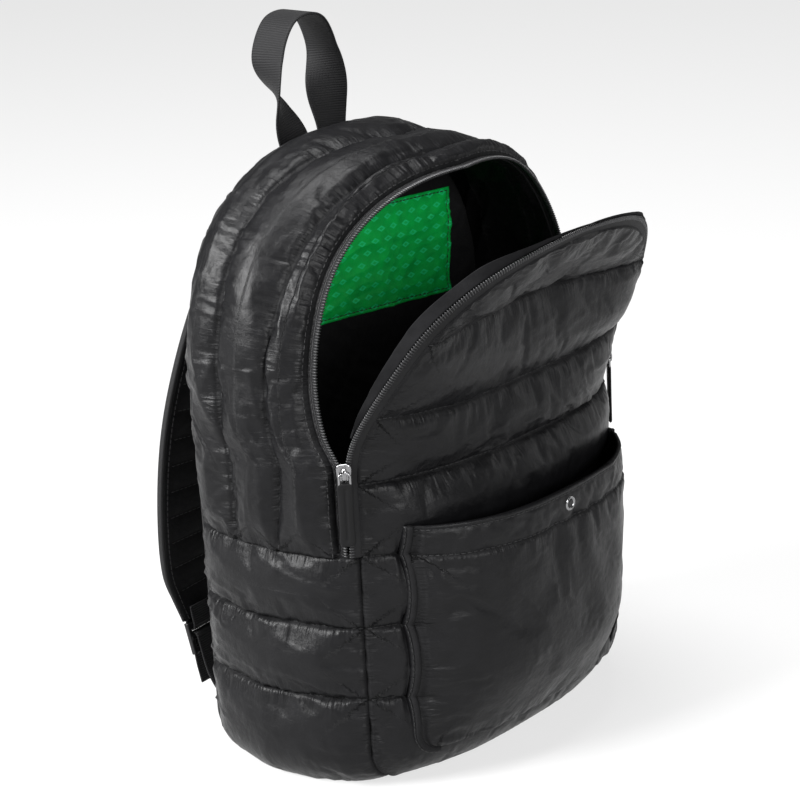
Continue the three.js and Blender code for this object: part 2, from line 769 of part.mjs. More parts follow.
function zipBar(name, stationAt) {
  const sections = [];
  const faces = [];
  for (let i = 0; i <= archSteps; i += 1) sections.push(stationAt(archDistance(i)));
  const n = sections[0].length;
  for (let k = 0; k < archSteps; k += 1) {
    for (let j = 0; j < n; j += 1) {
      const a = k * n + j;
      const b = k * n + (j + 1) % n;
      faces.push([a, b, b + n], [a, b + n, a + n]);
    }
  }
  const end = archSteps * n;
  const cap = (o, flip) => {
    const fans = [[0, 1, 6], [0, 6, 7], [2, 3, 4], [2, 4, 5], [1, 2, 5], [1, 5, 6]];
    fans.forEach(([a, b, c]) => faces.push(flip ? [o + a, o + c, o + b] : [o + a, o + b, o + c]));
  };
  cap(0, true);
  cap(end, false);
  return named(name, closedGeometry(sections.flat(), faces), matteBlack);
}

function bodyZipPoint(s, share) {
  const { x, z, nx, nz } = outlineAt(s);
  const offset = THREE.MathUtils.lerp(upperEdge - wall / 2, teethOffset, share);
  const y = teethY(s) + tapeWidth * (1 - share);
  return new THREE.Vector3(x + nx * offset, y, z + nz * offset);
}

// The directions of the flap's own plane at a point of its edge: outward along it, and to its back.
function flapFrame(s) {
  const { x, z, nx, nz } = outlineAt(s);
  const { lean } = spineAt(z);
  const up = new THREE.Vector3(0, -Math.sin(lean), Math.cos(lean));
  const back = new THREE.Vector3(0, Math.cos(lean), Math.sin(lean));
  const outward = new THREE.Vector3(nx, 0, 0).addScaledVector(up, nz);
  return { edge: frontSheet(x, z, clearance + wall / 2), outward, back };
}

function flapZipPoint(s, share) {
  const { edge, outward, back } = flapFrame(s);
  return edge
    .addScaledVector(outward, tapeWidth * Math.cos(zipTurn) * share)
    .addScaledVector(back, tapeWidth * Math.sin(zipTurn) * share);
}

function makeZipHalf(name, pointAt) {
  return zipBar(name, (s) => {
    const from = pointAt(s, 0);
    const to = pointAt(s, 1);
    const along3 = pointAt(s + 2, 0.5).sub(pointAt(s - 2, 0.5)).normalize();
    const out = to.clone().sub(from).normalize().cross(along3).normalize();
    return zipSection(from, to, out);
  });
}

// The band of lining that stands behind the flap's zip and fades out at the slider

function makeFacing() {
  const first = Math.ceil((leftDistance(sliderZ + sliderLength) - zipStart) / zipLength * archSteps);
  const steps = archSteps - 2 * first;
  const columns = 2;
  // It starts just behind the tape, which runs outward and back from the panel's edge.
  const start = (outward) => (
    (teethThickness / 2 + 1.5 * clearance + outward * Math.sin(zipTurn)) / Math.cos(zipTurn)
  );
  const side = (out) => (i, j) => {
    const { edge, outward, back } = flapFrame(archDistance(first + i));
    const share = 1 - Math.abs(2 * i / steps - 1);
    const depth = facingDepth * along(facingTable, 'share', 'depth', share);
    const away = teethOffset - teethWidth + facingThickness * out;
    return edge
      .addScaledVector(outward, away + 2 * j / columns)
      .addScaledVector(back, start(away) + depth * j / columns);
  };
  return named('flap_facing', shell(steps, columns, side(1), side(0)), matteBlack);
}

// The zip pulls

// Where a slider sits: between the teeth of the two halves, facing away from the bag's corner.
function sliderFrame(sign) {
  const s = leftDistance(sliderZ);
  const middle = bodyZipPoint(s, 1).add(flapZipPoint(s, 1)).multiplyScalar(0.5);
  middle.x *= -sign;
  const out = new THREE.Vector3(sign, -1, 0).normalize();
  const up = new THREE.Vector3(0, 0, 1);
  return { middle, across: up.clone().cross(out), up, out };
}

const plateFoot = teethThickness + 2 * clearance; // from the middle of the teeth to the plate
const pivotOut = plateFoot + sliderPlate + (bridgeHeight - bridgeBar) / 2;

function onSlider(piece, sign) {
  const { middle, across, up, out } = sliderFrame(sign);
  piece.position.copy(middle);
  piece.quaternion.setFromRotationMatrix(new THREE.Matrix4().makeBasis(across, up, out));
  return piece;
}

function makeSlider(name, sign) {
  const plate = new THREE.BoxGeometry(sliderWidth, sliderLength, sliderPlate);
  plate.translate(0, 0, plateFoot + sliderPlate / 2);
  const length = sliderLength * 0.7;
  const sunk = sliderPlate / 2;
  const arch = new THREE.Shape([
    [-length / 2, -sunk], [-length / 2, bridgeHeight], [length / 2, bridgeHeight], [length / 2, -sunk],
  ].map(([a, b]) => new THREE.Vector2(a, b)));
  const hole = length / 2 - bridgeBar;
  arch.holes.push(new THREE.Path([
    [-hole, 0], [hole, 0], [hole, bridgeHeight - bridgeBar], [-hole, bridgeHeight - bridgeBar],
  ].map(([a, b]) => new THREE.Vector2(a, b))));
  const bridge = new THREE.ExtrudeGeometry(arch, { depth: bridgeWidth, bevelEnabled: false });
  bridge.rotateX(Math.PI / 2);
  bridge.rotateZ(Math.PI / 2);
  bridge.translate(-bridgeWidth, 0, plateFoot + sliderPlate);
  bridge.computeBoundingBox();
  bridge.translate(-(bridge.boundingBox.min.x + bridge.boundingBox.max.x) / 2, 0, 0);
  return onSlider(named(name, joined(plate, bridge), steel), sign);
}

function makeLink(name, sign) {
  const half = bridgeWidth / 2 + clearance + linkRadius + 1;
  const rod = (length, x, y, turned) => {
    const piece = new THREE.CylinderGeometry(linkRadius, linkRadius, length, 8);
    if (turned) piece.rotateZ(Math.PI / 2);
    piece.translate(x, y, pivotOut);
    return piece;
  };
  const whole = 2 * (half + linkRadius);
  const geometry = joined(
    rod(whole, 0, 0, true),
    rod(whole, 0, -linkReach, true),
    rod(linkReach, -half, -linkReach / 2, false),
    rod(linkReach, half, -linkReach / 2, false),
  );
  return onSlider(named(name, geometry, steel), sign);
}

function makeTab(name, sign) {
  const half = tabWidth / 2;
  const corner = tabWidth / 4;
  const shape = new THREE.Shape();
  shape.moveTo(-half + corner, 0);
  shape.lineTo(half - corner, 0);
  shape.absarc(half - corner, -corner, corner, Math.PI / 2, 0, true);
  shape.absarc(half - corner, -tabLength + corner, corner, 0, -Math.PI / 2, true);
  shape.absarc(-half + corner, -tabLength + corner, corner, -Math.PI / 2, -Math.PI, true);
  shape.absarc(-half + corner, -corner, corner, Math.PI, Math.PI / 2, true);
  const geometry = new THREE.ExtrudeGeometry(shape, { depth: tabThickness, bevelEnabled: false, curveSegments: 3 });
  geometry.translate(0, -linkReach - linkRadius - clearance, pivotOut - tabThickness / 2);
  return onSlider(named(name, geometry, matteBlack), sign);
}

// The carry loop

function makeHandle() {
  const y = backFaceY + clearance + webThickness / 2;
  const foot = loopFeet / 2;
  const wide = loopSpread / 2;
  const crown = seamTopZ + backFlare;
  const path = new THREE.CatmullRomCurve3([
    [-foot, -0.3], [-foot, -0.12], [-foot, 0.02], [-foot - (wide - foot) * 0.45, 0.3], [-wide, 0.68],
    [-wide * 0.55, 0.95], [0, 1], [wide * 0.55, 0.95], [wide, 0.68], [foot + (wide - foot) * 0.45, 0.3],
    [foot, 0.02], [foot, -0.12], [foot, -0.3],
  ].map(([x, up]) => new THREE.Vector3(
    x,
    y + loopLean * fadeIn(up + 0.12, 0.8),
    crown + loopHeight * up,
  )), false, 'centripetal');
  const steps = 60;
  const back = new THREE.Vector3(0, 1, 0);
  const stations = Array.from({ length: steps + 1 }, (_, k) => {
    const u = k / steps;
    const point = path.getPointAt(u);
    const tangent = path.getTangentAt(u);
    const up = (point.z - crown) / loopHeight;
    const turn = loopTwist * (1 - THREE.MathUtils.smoothstep(up, 0.05, 0.75)) * THREE.MathUtils.DEG2RAD;
    const side = tangent.clone().cross(back).normalize();
    const level = side.clone().cross(tangent);
    const across = level.multiplyScalar(Math.cos(turn)).addScaledVector(side, -Math.sin(turn));
    return { point, across, out: tangent.clone().cross(across).normalize() };
  });
  return named('carry_loop', band(stations, webWidth, webThickness), matteBlack);
}

// The shoulder straps

function strapStations(sign) {
  const y = backFaceY + 3 * clearance + strapThickness / 2;
  const curve = new THREE.CatmullRomCurve3(strapTable.map((row) => new THREE.Vector3(
    sign * row.out * seamHalfWidth,
    y + row.off * strapReach,
    row.height * strapTopZ,
  )), false, 'centripetal');
  const steps = 22;
  const right = new THREE.Vector3(1, 0, 0);
  return Array.from({ length: steps + 1 }, (_, k) => {
    const point = curve.getPoint(k / steps);
    const tangent = curve.getTangent(k / steps);
    const across = right.clone().addScaledVector(tangent, -tangent.x).normalize();
    const out = across.clone().cross(tangent);
    return { point, across, out, tangent, share: along(strapTable, 'height', 'width', point.z / strapTopZ) };
  });
}

function makeStrap(name, sign) {
  const stations = strapStations(sign);
  const sections = stations.map(({ point, across, out, share }, k) => {
    const w = strapWidth * share / 2;
    const thin = THREE.MathUtils.smoothstep(stations.length - 1 - k, 0, 3);
    const h = strapThickness / 2 * (0.5 + 0.5 * thin);
    const edge = w - h;
    return [[-w, -h * 0.3], [-edge, -h], [edge, -h], [w, -h * 0.3], [w, h * 0.3], [edge, h], [-edge, h], [-w, h * 0.3]]
      .map(([a, b]) => point.clone().addScaledVector(across, a).addScaledVector(out, b));
  });
  return named(name, bar(sections), black);
}

// The frame of a buckle at the end of a strap: its top bar lies a little below the strap's end.
function buckleFrame(sign) {
  const stations = strapStations(sign);
  const { point, across, out, tangent } = stations[stations.length - 1];
  const drop = buckleBar / 2 + lowerWebThickness + 3 * clearance;
  return { across, down: tangent, out, middle: point.clone().addScaledVector(tangent, drop) };
}

const buckleLocal = ({ middle, down, out }, a, b) => (
  middle.clone().addScaledVector(down, a).addScaledVector(out, b)
);

function makeBuckle(name, sign) {
  const { middle, across, down, out } = buckleFrame(sign);
  const pitch = (buckleLength - buckleBar) / 2;
  const block = (width, length, x, y) => {
    const piece = new THREE.BoxGeometry(width, length, buckleThickness);
    piece.translate(x, y, 0);
    return piece;
  };
  const side = (buckleWidth - buckleBar) / 2;
  const geometry = joined(
    block(buckleWidth, buckleBar, 0, 0),
    block(buckleWidth, buckleBar, 0, -pitch),
    block(buckleWidth, buckleBar, 0, -2 * pitch),
    block(buckleBar, buckleLength, side, -pitch),
    block(buckleBar, buckleLength, -side, -pitch),
  );
  const buckle = named(name, geometry, matteBlack);
  buckle.position.copy(middle);
  const up = down.clone().negate();
  buckle.quaternion.setFromRotationMatrix(new THREE.Matrix4().makeBasis(across, up, across.clone().cross(up)));
  return buckle;
}

// A band of webbing along points of a buckle's own plane.
function foldedWeb(points, across, width) {
  const stations = points.map((point, k) => {
    const before = points[Math.max(k - 1, 0)];
    const after = points[Math.min(k + 1, points.length - 1)];
    const tangent = after.clone().sub(before).normalize();
    return { point, across, out: tangent.clone().cross(across).normalize() };
  });
  return band(stations, width, lowerWebThickness);
}

// The turn of a web round a bar at distance `a` down the buckle, from its front to its back.
function turnRound(frame, a, reach, upward) {
  const steps = 6;
  return Array.from({ length: steps + 1 }, (_, k) => {
    const turn = Math.PI * k / steps;
    const along2 = a + (upward ? -1 : 1) * reach * Math.sin(turn);
    return buckleLocal(frame, along2, reach * Math.cos(turn));
  });
}

const webReach = Math.hypot(buckleBar, buckleThickness) / 2 + clearance + lowerWebThickness / 2;
const webFits = buckleWidth - 2 * buckleBar - 4 * clearance;

function makeBuckleLoop(name, sign) {
  const frame = buckleFrame(sign);
  const leg = strapThickness / 4 + clearance + lowerWebThickness / 2;
  const points = [
    buckleLocal(frame, -loopLeg, leg + loopRise),
    buckleLocal(frame, -loopLeg / 2, leg + loopRise / 2),
    ...turnRound(frame, 0, webReach, false),
    buckleLocal(frame, -loopLeg / 2, -leg - loopRise / 2),
    buckleLocal(frame, -loopLeg, -leg - loopRise),
  ];
  return named(name, foldedWeb(points, frame.across, Math.min(lowerWebWidth, webFits)), matteBlack);
}

function anchorPoints(sign) {
  const { middle } = buckleFrame(sign);
  const y = backFaceY + clearance + webThickness / 2;
  return [[0, 1.1], [0, 0.75], [0.02, 0.52], [0.22, 0.42], [0.6, 0.4], [1, 0.52]].map(([off, up]) => (
    new THREE.Vector3(middle.x, y + off * anchorReach, anchorZ * up)
  ));
}

function makeAnchor(name, sign) {
  const points = anchorPoints(sign);
  const across = new THREE.Vector3(1, 0, 0);
  const stations = points.map((point, k) => {
    const tangent = points[Math.min(k + 1, points.length - 1)].clone().sub(points[Math.max(k - 1, 0)]).normalize();
    const share = THREE.MathUtils.lerp(1, lowerWebWidth / anchorWidth, k / (points.length - 1));
    return { point, across, out: tangent.clone().cross(across), share };
  });
  return named(name, band(stations, anchorWidth, webThickness), matteBlack);
}

function makeLowerWeb(name, sign) {
  const frame = buckleFrame(sign);
  const pitch = (buckleLength - buckleBar) / 2;
  const tip = anchorPoints(sign).slice(-1)[0];
  const start = buckleLocal(frame, 2 * pitch + 6, -webReach);
  const lift = webThickness / 2 + lowerWebThickness / 2 + clearance;
  const ends = [
    new THREE.Vector3(frame.middle.x, tip.y - anchorReach * 0.3, tip.z - anchorZ * 0.05 + lift),
    new THREE.Vector3(frame.middle.x, tip.y - anchorReach * 0.04, tip.z + lift),
  ];
  const curve = new THREE.CatmullRomCurve3([
    start.clone().addScaledVector(frame.down, -2),
    start,
    start.clone().lerp(ends[1], 0.5).add(new THREE.Vector3(0, 3, 0)),
    ends[1],
    ends[0],
  ], false, 'centripetal');
  const lower = curve.getPoints(14).reverse();
  const points = [
    ...lower,
    buckleLocal(frame, 2 * pitch, -webReach),
    ...turnRound(frame, pitch, webReach, true).reverse(),
    buckleLocal(frame, 2 * pitch, webReach),
    buckleLocal(frame, 2 * pitch + tailLength * 0.5, webReach + 1),
    buckleLocal(frame, 2 * pitch + tailLength, webReach + 1),
  ];
  return named(name, foldedWeb(points, frame.across, Math.min(lowerWebWidth, webFits)), matteBlack);
}

const group = new THREE.Group();
group.add(
  makeFrontPanel(), makeUpperSide(), makeLowerSide(), makeBackPanel(), makeLiningPad(), makePatch(),
  makePocket(), makeSnap(), makeLabel(), makeFacing(), makeHandle(),
  makeZipHalf('zip_body_half', bodyZipPoint), makeZipHalf('zip_flap_half', flapZipPoint),
);
[['left', -1], ['right', 1]].forEach(([side, sign]) => {
  group.add(
    makeSlider(`slider_${side}`, sign), makeLink(`pull_link_${side}`, sign), makeTab(`pull_tab_${side}`, sign),
    makeStrap(`shoulder_strap_${side}`, sign), makeBuckle(`buckle_${side}`, sign),
    makeBuckleLoop(`buckle_loop_${side}`, sign), makeLowerWeb(`lower_web_${side}`, sign),
    makeAnchor(`anchor_${side}`, sign),
  );
});
export default group;
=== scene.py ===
"""Quilted puffer backpack: its fabric, zips, webbing and small parts, laid over the measured frame."""

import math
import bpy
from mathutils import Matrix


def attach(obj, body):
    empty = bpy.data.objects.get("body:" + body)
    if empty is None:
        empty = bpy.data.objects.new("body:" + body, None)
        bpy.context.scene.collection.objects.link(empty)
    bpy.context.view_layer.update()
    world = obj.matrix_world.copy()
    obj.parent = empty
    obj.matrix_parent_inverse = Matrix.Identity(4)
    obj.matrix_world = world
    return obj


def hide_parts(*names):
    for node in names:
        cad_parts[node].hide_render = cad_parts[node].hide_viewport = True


bl_info = {
    "name": "Quilted backpack",
    "version": (1, 0, 0),
    "blender": (4, 5, 0),
    "location": "3D View > Sidebar > Backpack",
    "description": "Builds the fabric, zips, webbing and small parts of a quilted backpack",
    "category": "Add Mesh",
}

import bpy
import numpy as np
from bpy.props import FloatProperty, FloatVectorProperty, PointerProperty
from mathutils import Matrix, Vector

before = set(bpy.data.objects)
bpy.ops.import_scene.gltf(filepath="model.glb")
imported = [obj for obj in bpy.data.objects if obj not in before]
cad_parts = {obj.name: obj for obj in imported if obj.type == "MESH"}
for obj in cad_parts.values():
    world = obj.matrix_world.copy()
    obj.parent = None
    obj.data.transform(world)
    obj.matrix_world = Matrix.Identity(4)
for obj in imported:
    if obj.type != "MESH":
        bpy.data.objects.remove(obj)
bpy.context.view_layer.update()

MM = 0.001


# Properties

def length(name, description, default, low=0.0, high=1.0):
    return FloatProperty(
        name=name, description=description, default=default, min=low, max=high, subtype="DISTANCE", unit="LENGTH"
    )


def share(name, description, default, low=0.0, high=1.0):
    return FloatProperty(name=name, description=description, default=default, min=low, max=high, subtype="FACTOR")


def colour(name, description, default):
    return FloatVectorProperty(
        name=name, description=description, default=default, size=3, min=0.0, max=1.0, subtype="COLOR"
    )


class BagSizes(bpy.types.PropertyGroup):
    """The sizes of the stuffed bag, the same as those of the solids"""

    body_depth: length("Body depth", "From the front seam to the back seam", 0.136)
    seam_half: length("Seam half width", "Half the width of the seam where the arch starts", 0.138)
    base_half: length("Base half width", "Half the width just above the base corners", 0.137)
    spring_z: length("Arch start", "Height where the sides turn into the arch", 0.244)
    top_z: length("Arch top", "Height of the top of the seam", 0.404)
    base_z: length("Base seam", "Height of the seam round the base", 0.005)
    base_corner: length("Base corner", "Radius of the corners of the base", 0.024)
    side_bulge: length("Side bulge", "How far the stuffed sides bow out past the seams", 0.016)
    back_flare: length("Back flare", "How far the back seam lies outside the front seam", 0.006)
    shoulder_flare: length("Shoulder flare", "How much squarer the back seam is at the shoulders", 0.009)
    slump: share("Slump", "How much flatter the right shoulder lies than the left", 0.85)
    side_puff: length("Side puff", "How far a channel of the sides stands out", 0.005)
    front_puff: length("Front puff", "How far a channel of the front stands out", 0.0065)
    side_seam_z: length("Side seam", "Height of the seam between the upper and the lower side", 0.174)
    slider_z: length("Slider height", "Height of the zip sliders", 0.236)
    fold_below: length("Fold below the slider", "How far below the sliders the front starts to lean", 0.008)
    flap_warp: length("Flap warp", "How far the flap's shoulders bend forward against its middle", 0.026)
    tape_width: length("Tape width", "Visible tape on each side of the zip teeth", 0.008)
    teeth_width: length("Teeth width", "Width of one row of teeth", 0.004)
    teeth_thickness: length("Teeth thickness", "Thickness of the teeth", 0.0028)
    pocket_half: length("Pocket half width", "Half the width of the pocket", 0.118)
    pocket_bottom: length("Pocket bottom", "Height of the pocket's lower edge", 0.026)
    pocket_top: length("Pocket top", "Height of the pocket's mouth", 0.194)
    pocket_room: length("Pocket room", "How far the pocket's middle stands off the front", 0.018)
    hem: length("Hem", "Depth of the pocket's hem", 0.022)
    web_width: length("Web width", "Width of the carry loop's webbing", 0.030)
    web_thickness: length("Web thickness", "Thickness of the carry loop's webbing", 0.002)
    loop_height: length("Loop height", "Height of the carry loop above the back seam", 0.094)
    strap_width: length("Strap width", "Width of a shoulder strap", 0.062)
    strap_thickness: length("Strap thickness", "Thickness of a shoulder strap", 0.009)
    strap_top: length("Strap top", "Height of a strap's upper end", 0.380)
    strap_reach: length("Strap reach", "How far a strap stands off the back", 0.062)
    pucker: length("Pucker depth", "Depth of the gathers at a stitch line", 0.0016)
    crease: length("Crease depth", "Depth of the soft creases of the fabric", 0.0016)
    stitch: length("Stitch length", "Length of one stitch", 0.0034)


class BagColours(bpy.types.PropertyGroup):
    """The colours of the bag"""

    shell: colour("Shell", "Satin outer fabric", (0.0045, 0.0045, 0.005))
    lining: colour("Lining", "Inner fabric", (0.0035, 0.0035, 0.0038))
    patch: colour("Patch", "Ground of the printed lining", (0.0006, 0.30, 0.045))
    motif: colour("Motif", "Print on the lining", (0.008, 0.42, 0.13))
    webbing: colour("Webbing", "Carry loop and adjusters", (0.006, 0.006, 0.0065))
    tape: colour("Tape", "Zip tape", (0.009, 0.009, 0.0095))
    teeth: colour("Teeth", "Zip teeth", (0.022, 0.022, 0.023))
    metal: colour("Metal", "Slider and snap", (0.26, 0.26, 0.265))
    rubber: colour("Rubber", "Zip pull", (0.004, 0.004, 0.0043))
    floor: colour("Floor", "Floor and backdrop", (0.2, 0.2, 0.2))


class BagStage(bpy.types.PropertyGroup):
    """The camera and the light"""

    azimuth: FloatProperty(name="Azimuth", description="Direction that the camera looks from", default=math.radians(-49.58), subtype="ANGLE", unit="ROTATION")
    elevation: FloatProperty(name="Elevation", description="How far the camera looks down", default=math.radians(19.11), subtype="ANGLE", unit="ROTATION")
    roll: FloatProperty(name="Roll", description="Tilt of the camera", default=math.radians(-2.84), subtype="ANGLE", unit="ROTATION")
    distance: length("Distance", "From the camera to its target", 1.8175, high=10.0)
    target_z: length("Target height", "Height that the camera looks at", 0.2064)
    focal: FloatProperty(name="Focal length", description="In pixels of an 800 pixel frame", default=2529.92, min=100.0)
    centre_x: FloatProperty(name="Centre right", description="Optical centre right of the frame's middle, in pixels", default=9.45)
    centre_y: FloatProperty(name="Centre below", description="Optical centre below the frame's middle, in pixels", default=34.94)
    light: FloatProperty(name="Light", description="Strength of the soft lights", default=1.0, min=0.0, subtype="FACTOR")


# Tables, as shares of the sizes

LEAN = np.array([(0, 0), (0.1, 14), (0.22, 26), (0.4, 28), (0.6, 31), (0.75, 44), (0.9, 60), (1, 72)], float)
BULGE = np.array([(0, 0.16), (0.08, 0.26), (0.22, 0.29), (0.41, 0.27), (0.54, 0.24), (0.68, 0.15), (0.84, 0.03), (1, 0)])
GAPE = np.array([(0, 0), (0.19, 0), (0.26, 0.09), (0.36, 0.145), (0.5, 0.16), (0.65, 0.145), (0.85, 0.06), (1, 0)])
STITCH_FRONT = np.array([(0, 0.33), (0.2, 0.29), (0.45, 0.22), (0.7, 0.16), (1, 0.13)])
STITCH_BACK = np.array([(0, 0.64), (0.2, 0.64), (0.45, 0.64), (0.7, 0.58), (1, 0.4)])
FACING = np.array([(0, 0.1), (0.15, 0.6), (0.35, 1), (0.6, 0.95), (0.8, 0.35), (1, 0.1)])
GATHERS = np.array([(-0.13, 0.07, 0.12), (0.07, 0.055, 0.16), (0.24, 0.06, 0.14), (0.43, 0.08, 0.1)])
STRAP = np.array([
    (1, 0.4, 0, 1), (0.97, 0.41, 0.07, 1), (0.92, 0.44, 0.24, 1), (0.84, 0.51, 0.42, 1), (0.7, 0.61, 0.64, 1),
    (0.57, 0.67, 0.8, 0.98), (0.42, 0.7, 0.91, 0.94), (0.29, 0.7, 0.97, 0.84), (0.235, 0.69, 0.95, 0.7),
    (0.185, 0.685, 0.88, 0.58),
])
LOWER_LINES = (0.122, 0.069)
FLAP_LINES = (0.225, 0.280, 0.342)
ARCH_POWER = 2.5
BULGE_POWER = 2.6
ZIP_TURN = math.radians(36)
WALL = 3 * MM
GAP = 0.3 * MM


# Curves and noise

def through(table, x, column=1):
    """A smooth curve through a table's rows: cubic pieces whose slope at a row is that of the line
    between its neighbours."""
    xs, ys = table[:, 0], table[:, column]
    last = len(xs) - 1
    k = np.arange(last + 1)
    a, b = np.maximum(k - 1, 0), np.minimum(k + 1, last)
    slope = (ys[b] - ys[a]) / (xs[b] - xs[a])
    i = np.clip(np.searchsorted(xs, x, side="right") - 1, 0, last - 1)
    span = xs[i + 1] - xs[i]
    t = np.clip((x - xs[i]) / span, 0, 1)
    rise = t * t * (3 - 2 * t)
    bend = t * (1 - t) * (1 - t) * slope[i] + t * t * (t - 1) * slope[i + 1]
    return ys[i] * (1 - rise) + ys[i + 1] * rise + span * bend


def fade(x, low, high):
    """0 below low, 1 above high, smooth between."""
    t = np.clip((x - low) / (high - low), 0, 1)
    return t * t * (3 - 2 * t)


def puffed(c):
    """A channel between two stitch lines: 0 on them, 1 between them."""
    return np.maximum(np.sin(np.pi * np.clip(c, 0, 1)), 0) ** 0.6


def ripple(a, pitch, seed):
    """Smooth noise along a line, from 0 to 1, with a random value every pitch."""
    values = np.random.default_rng(seed).random(512)
    p = a / pitch + 1000.0
    i = np.floor(p).astype(int)
    t = p - i
    t = t * t * (3 - 2 * t)
    return values[i % 512] * (1 - t) + values[(i + 1) % 512] * t


def cloud(a, b, seed):
    """Smooth noise over a plane, from 0 to 1, with a random value at every whole number."""
    values = np.random.default_rng(seed).random((128, 128))
    a, b = a + 1000.0, b + 1000.0
    i, j = np.floor(a).astype(int), np.floor(b).astype(int)
    s, t = a - i, b - j
    s, t = s * s * (3 - 2 * s), t * t * (3 - 2 * t)
    i0, i1, j0, j1 = i % 128, (i + 1) % 128, j % 128, (j + 1) % 128
    low = values[i0, j0] * (1 - s) + values[i1, j0] * s
    high = values[i0, j1] * (1 - s) + values[i1, j1] * s
    return low * (1 - t) + high * t


def gathers(a, d, seed, pitch=7 * MM, reach=16 * MM, slant=0.35):
    """Short folds that leave a stitch line at right angles: ridges of noise along the line a, which
    fade with the distance d from it over a length that varies along it."""
    sway = slant * (ripple(a, 40 * MM, seed + 1) - 0.5) * d
    ridge = 1 - np.abs(2 * ripple(a + sway, pitch, seed) - 1)
    fine = 1 - np.abs(2 * ripple(a + sway, pitch * 0.45, seed + 2) - 1)
    long = reach * (0.35 + 1.1 * ripple(a, pitch * 1.7, seed + 3) ** 2)
    strength = 0.45 + 0.9 * ripple(a, 60 * MM, seed + 4)
    away = np.abs(d)
    rise = fade(away, 0.2 * MM, 2.2 * MM)
    return strength * rise * (ridge * np.exp(-((away / long) ** 1.3)) + 0.4 * fine * np.exp(-away / (0.35 * reach)))


def creases(a, b, seed, wide=22 * MM, long=90 * MM, turn=0.0, sharp=2.5):
    """Long soft folds: ridged noise stretched along one direction and bent by slower noise."""
    c, s = math.cos(turn), math.sin(turn)
    p, q = c * a + s * b, -s * a + c * b
    q = q + 18 * MM * (cloud(p / (70 * MM), q / (70 * MM), seed + 1) - 0.5)
    n = cloud(p / long, q / wide, seed)
    m = cloud(p / (long * 0.6), q / (wide * 0.5), seed + 2)
    return (1 - np.abs(2 * n - 1)) ** sharp + 0.45 * (1 - np.abs(2 * m - 1)) ** sharp


def groove(d, wide=1.3 * MM):
    """The dent that a stitch line presses into the fabric."""
    return -np.exp(-((d / wide) ** 2))


# Outline of the seam, from the middle of the base, up the left side, over the arch and down the right

def seam_half(v):
    size = bpy.context.scene.bag_sizes
    v = np.asarray(v, float)
    corner = size.base_z + size.base_corner
    drop = corner - np.clip(v, size.base_z, corner)
    low = size.base_half - size.base_corner + np.sqrt(np.maximum(size.base_corner ** 2 - drop ** 2, 0))
    side = size.base_half + (size.seam_half - size.base_half) * (v - corner) / (size.spring_z - corner)
    rise = np.clip((v - size.spring_z) / (size.top_z - size.spring_z), 0, 1)
    arch = size.seam_half * (1 - rise ** ARCH_POWER) ** (1 / ARCH_POWER)
    return np.where(v < corner, low, np.where(v < size.spring_z, side, arch))


class Outline:
    """The seam outline as a closed line with each point's distance along it."""

    def __init__(self):
        size = bpy.context.scene.bag_sizes
        base = size.base_half - size.base_corner
        corner = size.base_z + size.base_corner
        x1 = -np.arange(0, base, 2 * MM)
        turn = np.radians(np.arange(0, 90, 3))
        z3 = np.arange(corner, size.spring_z, 2 * MM)
        arch = np.radians(np.arange(0, 90.5, 0.5))
        power = 2 / ARCH_POWER
        left = np.concatenate([
            np.stack([x1, np.full_like(x1, size.base_z)], 1),
            np.stack([-base - size.base_corner * np.sin(turn), size.base_z + size.base_corner * (1 - np.cos(turn))], 1),
            np.stack([-seam_half(z3), z3], 1),
            np.stack([
                -size.seam_half * np.maximum(np.cos(arch), 0) ** power,
                size.spring_z + (size.top_z - size.spring_z) * np.sin(arch) ** power,
            ], 1),
        ])
        right = left[1:-1][::-1] * (-1, 1)
        self.points = np.concatenate([left, right, left[:1]])
        step = np.linalg.norm(np.diff(self.points, axis=0), axis=1)
        self.lengths = np.concatenate([[0], np.cumsum(step)])
        self.total = self.lengths[-1]
        rising = self.points[: len(left)]
        self.climb = (rising[len(x1):, 1], self.lengths[len(x1): len(left)])
        self.start = self.left(size.side_seam_z)
        self.span = self.total - 2 * self.start

    def point(self, s):
        s = np.mod(s, self.total)
        return np.interp(s, self.lengths, self.points[:, 0]), np.interp(s, self.lengths, self.points[:, 1])

    def at(self, s):
        """Point of the outline and the outward direction there."""
        x0, z0 = self.point(s - 3 * MM)
        x1, z1 = self.point(s + 3 * MM)
        size = np.hypot(x1 - x0, z1 - z0)
        x, z = self.point(s)
        return x, z, -(z1 - z0) / size, (x1 - x0) / size

    def left(self, z):
        """Distance along the outline where its left side reaches a height."""
        return float(np.interp(z, *self.climb))

    def crown(self, s):
        """0 at the zip's ends, 1 at its top."""
        return 1 - np.abs(2 * (s - self.start) / self.span - 1)


# Sheets

def spine(v):
    """Depth, height and lean of the front panel at its own height v: it leans more and more forward
    above the fold, summed in small steps."""
    size = bpy.context.scene.bag_sizes
    fold = size.slider_z - size.fold_below
    step = 1 * MM
    reach = size.top_z - fold
    vs = np.arange(fold, size.top_z + 3 * MM, step)
    lean = np.radians(through(LEAN, np.clip((vs + step / 2 - fold) / reach, 0, 1)))
    y = np.concatenate([[0], -np.cumsum(step * np.sin(lean))]) - size.body_depth / 2
    z = np.concatenate([[0], np.cumsum(step * np.cos(lean))]) + fold
    knots = np.append(vs, vs[-1] + step)
    low = v <= fold
    angle = np.radians(through(LEAN, np.clip((v - fold) / reach, 0, 1)))
    return (
        np.where(low, -size.body_depth / 2, np.interp(v, knots, y)),
        np.where(low, v, np.interp(v, knots, z)),
        np.where(low, 0, angle),
    )


def front_bulge(x, v):
    size = bpy.context.scene.bag_sizes
    up = (v - size.base_z) / (size.top_z - size.base_z)
    across = np.minimum(np.abs(x) / np.maximum(seam_half(v), 1e-6), 1)
    return size.body_depth * through(BULGE, up) * (1 - across ** BULGE_POWER)


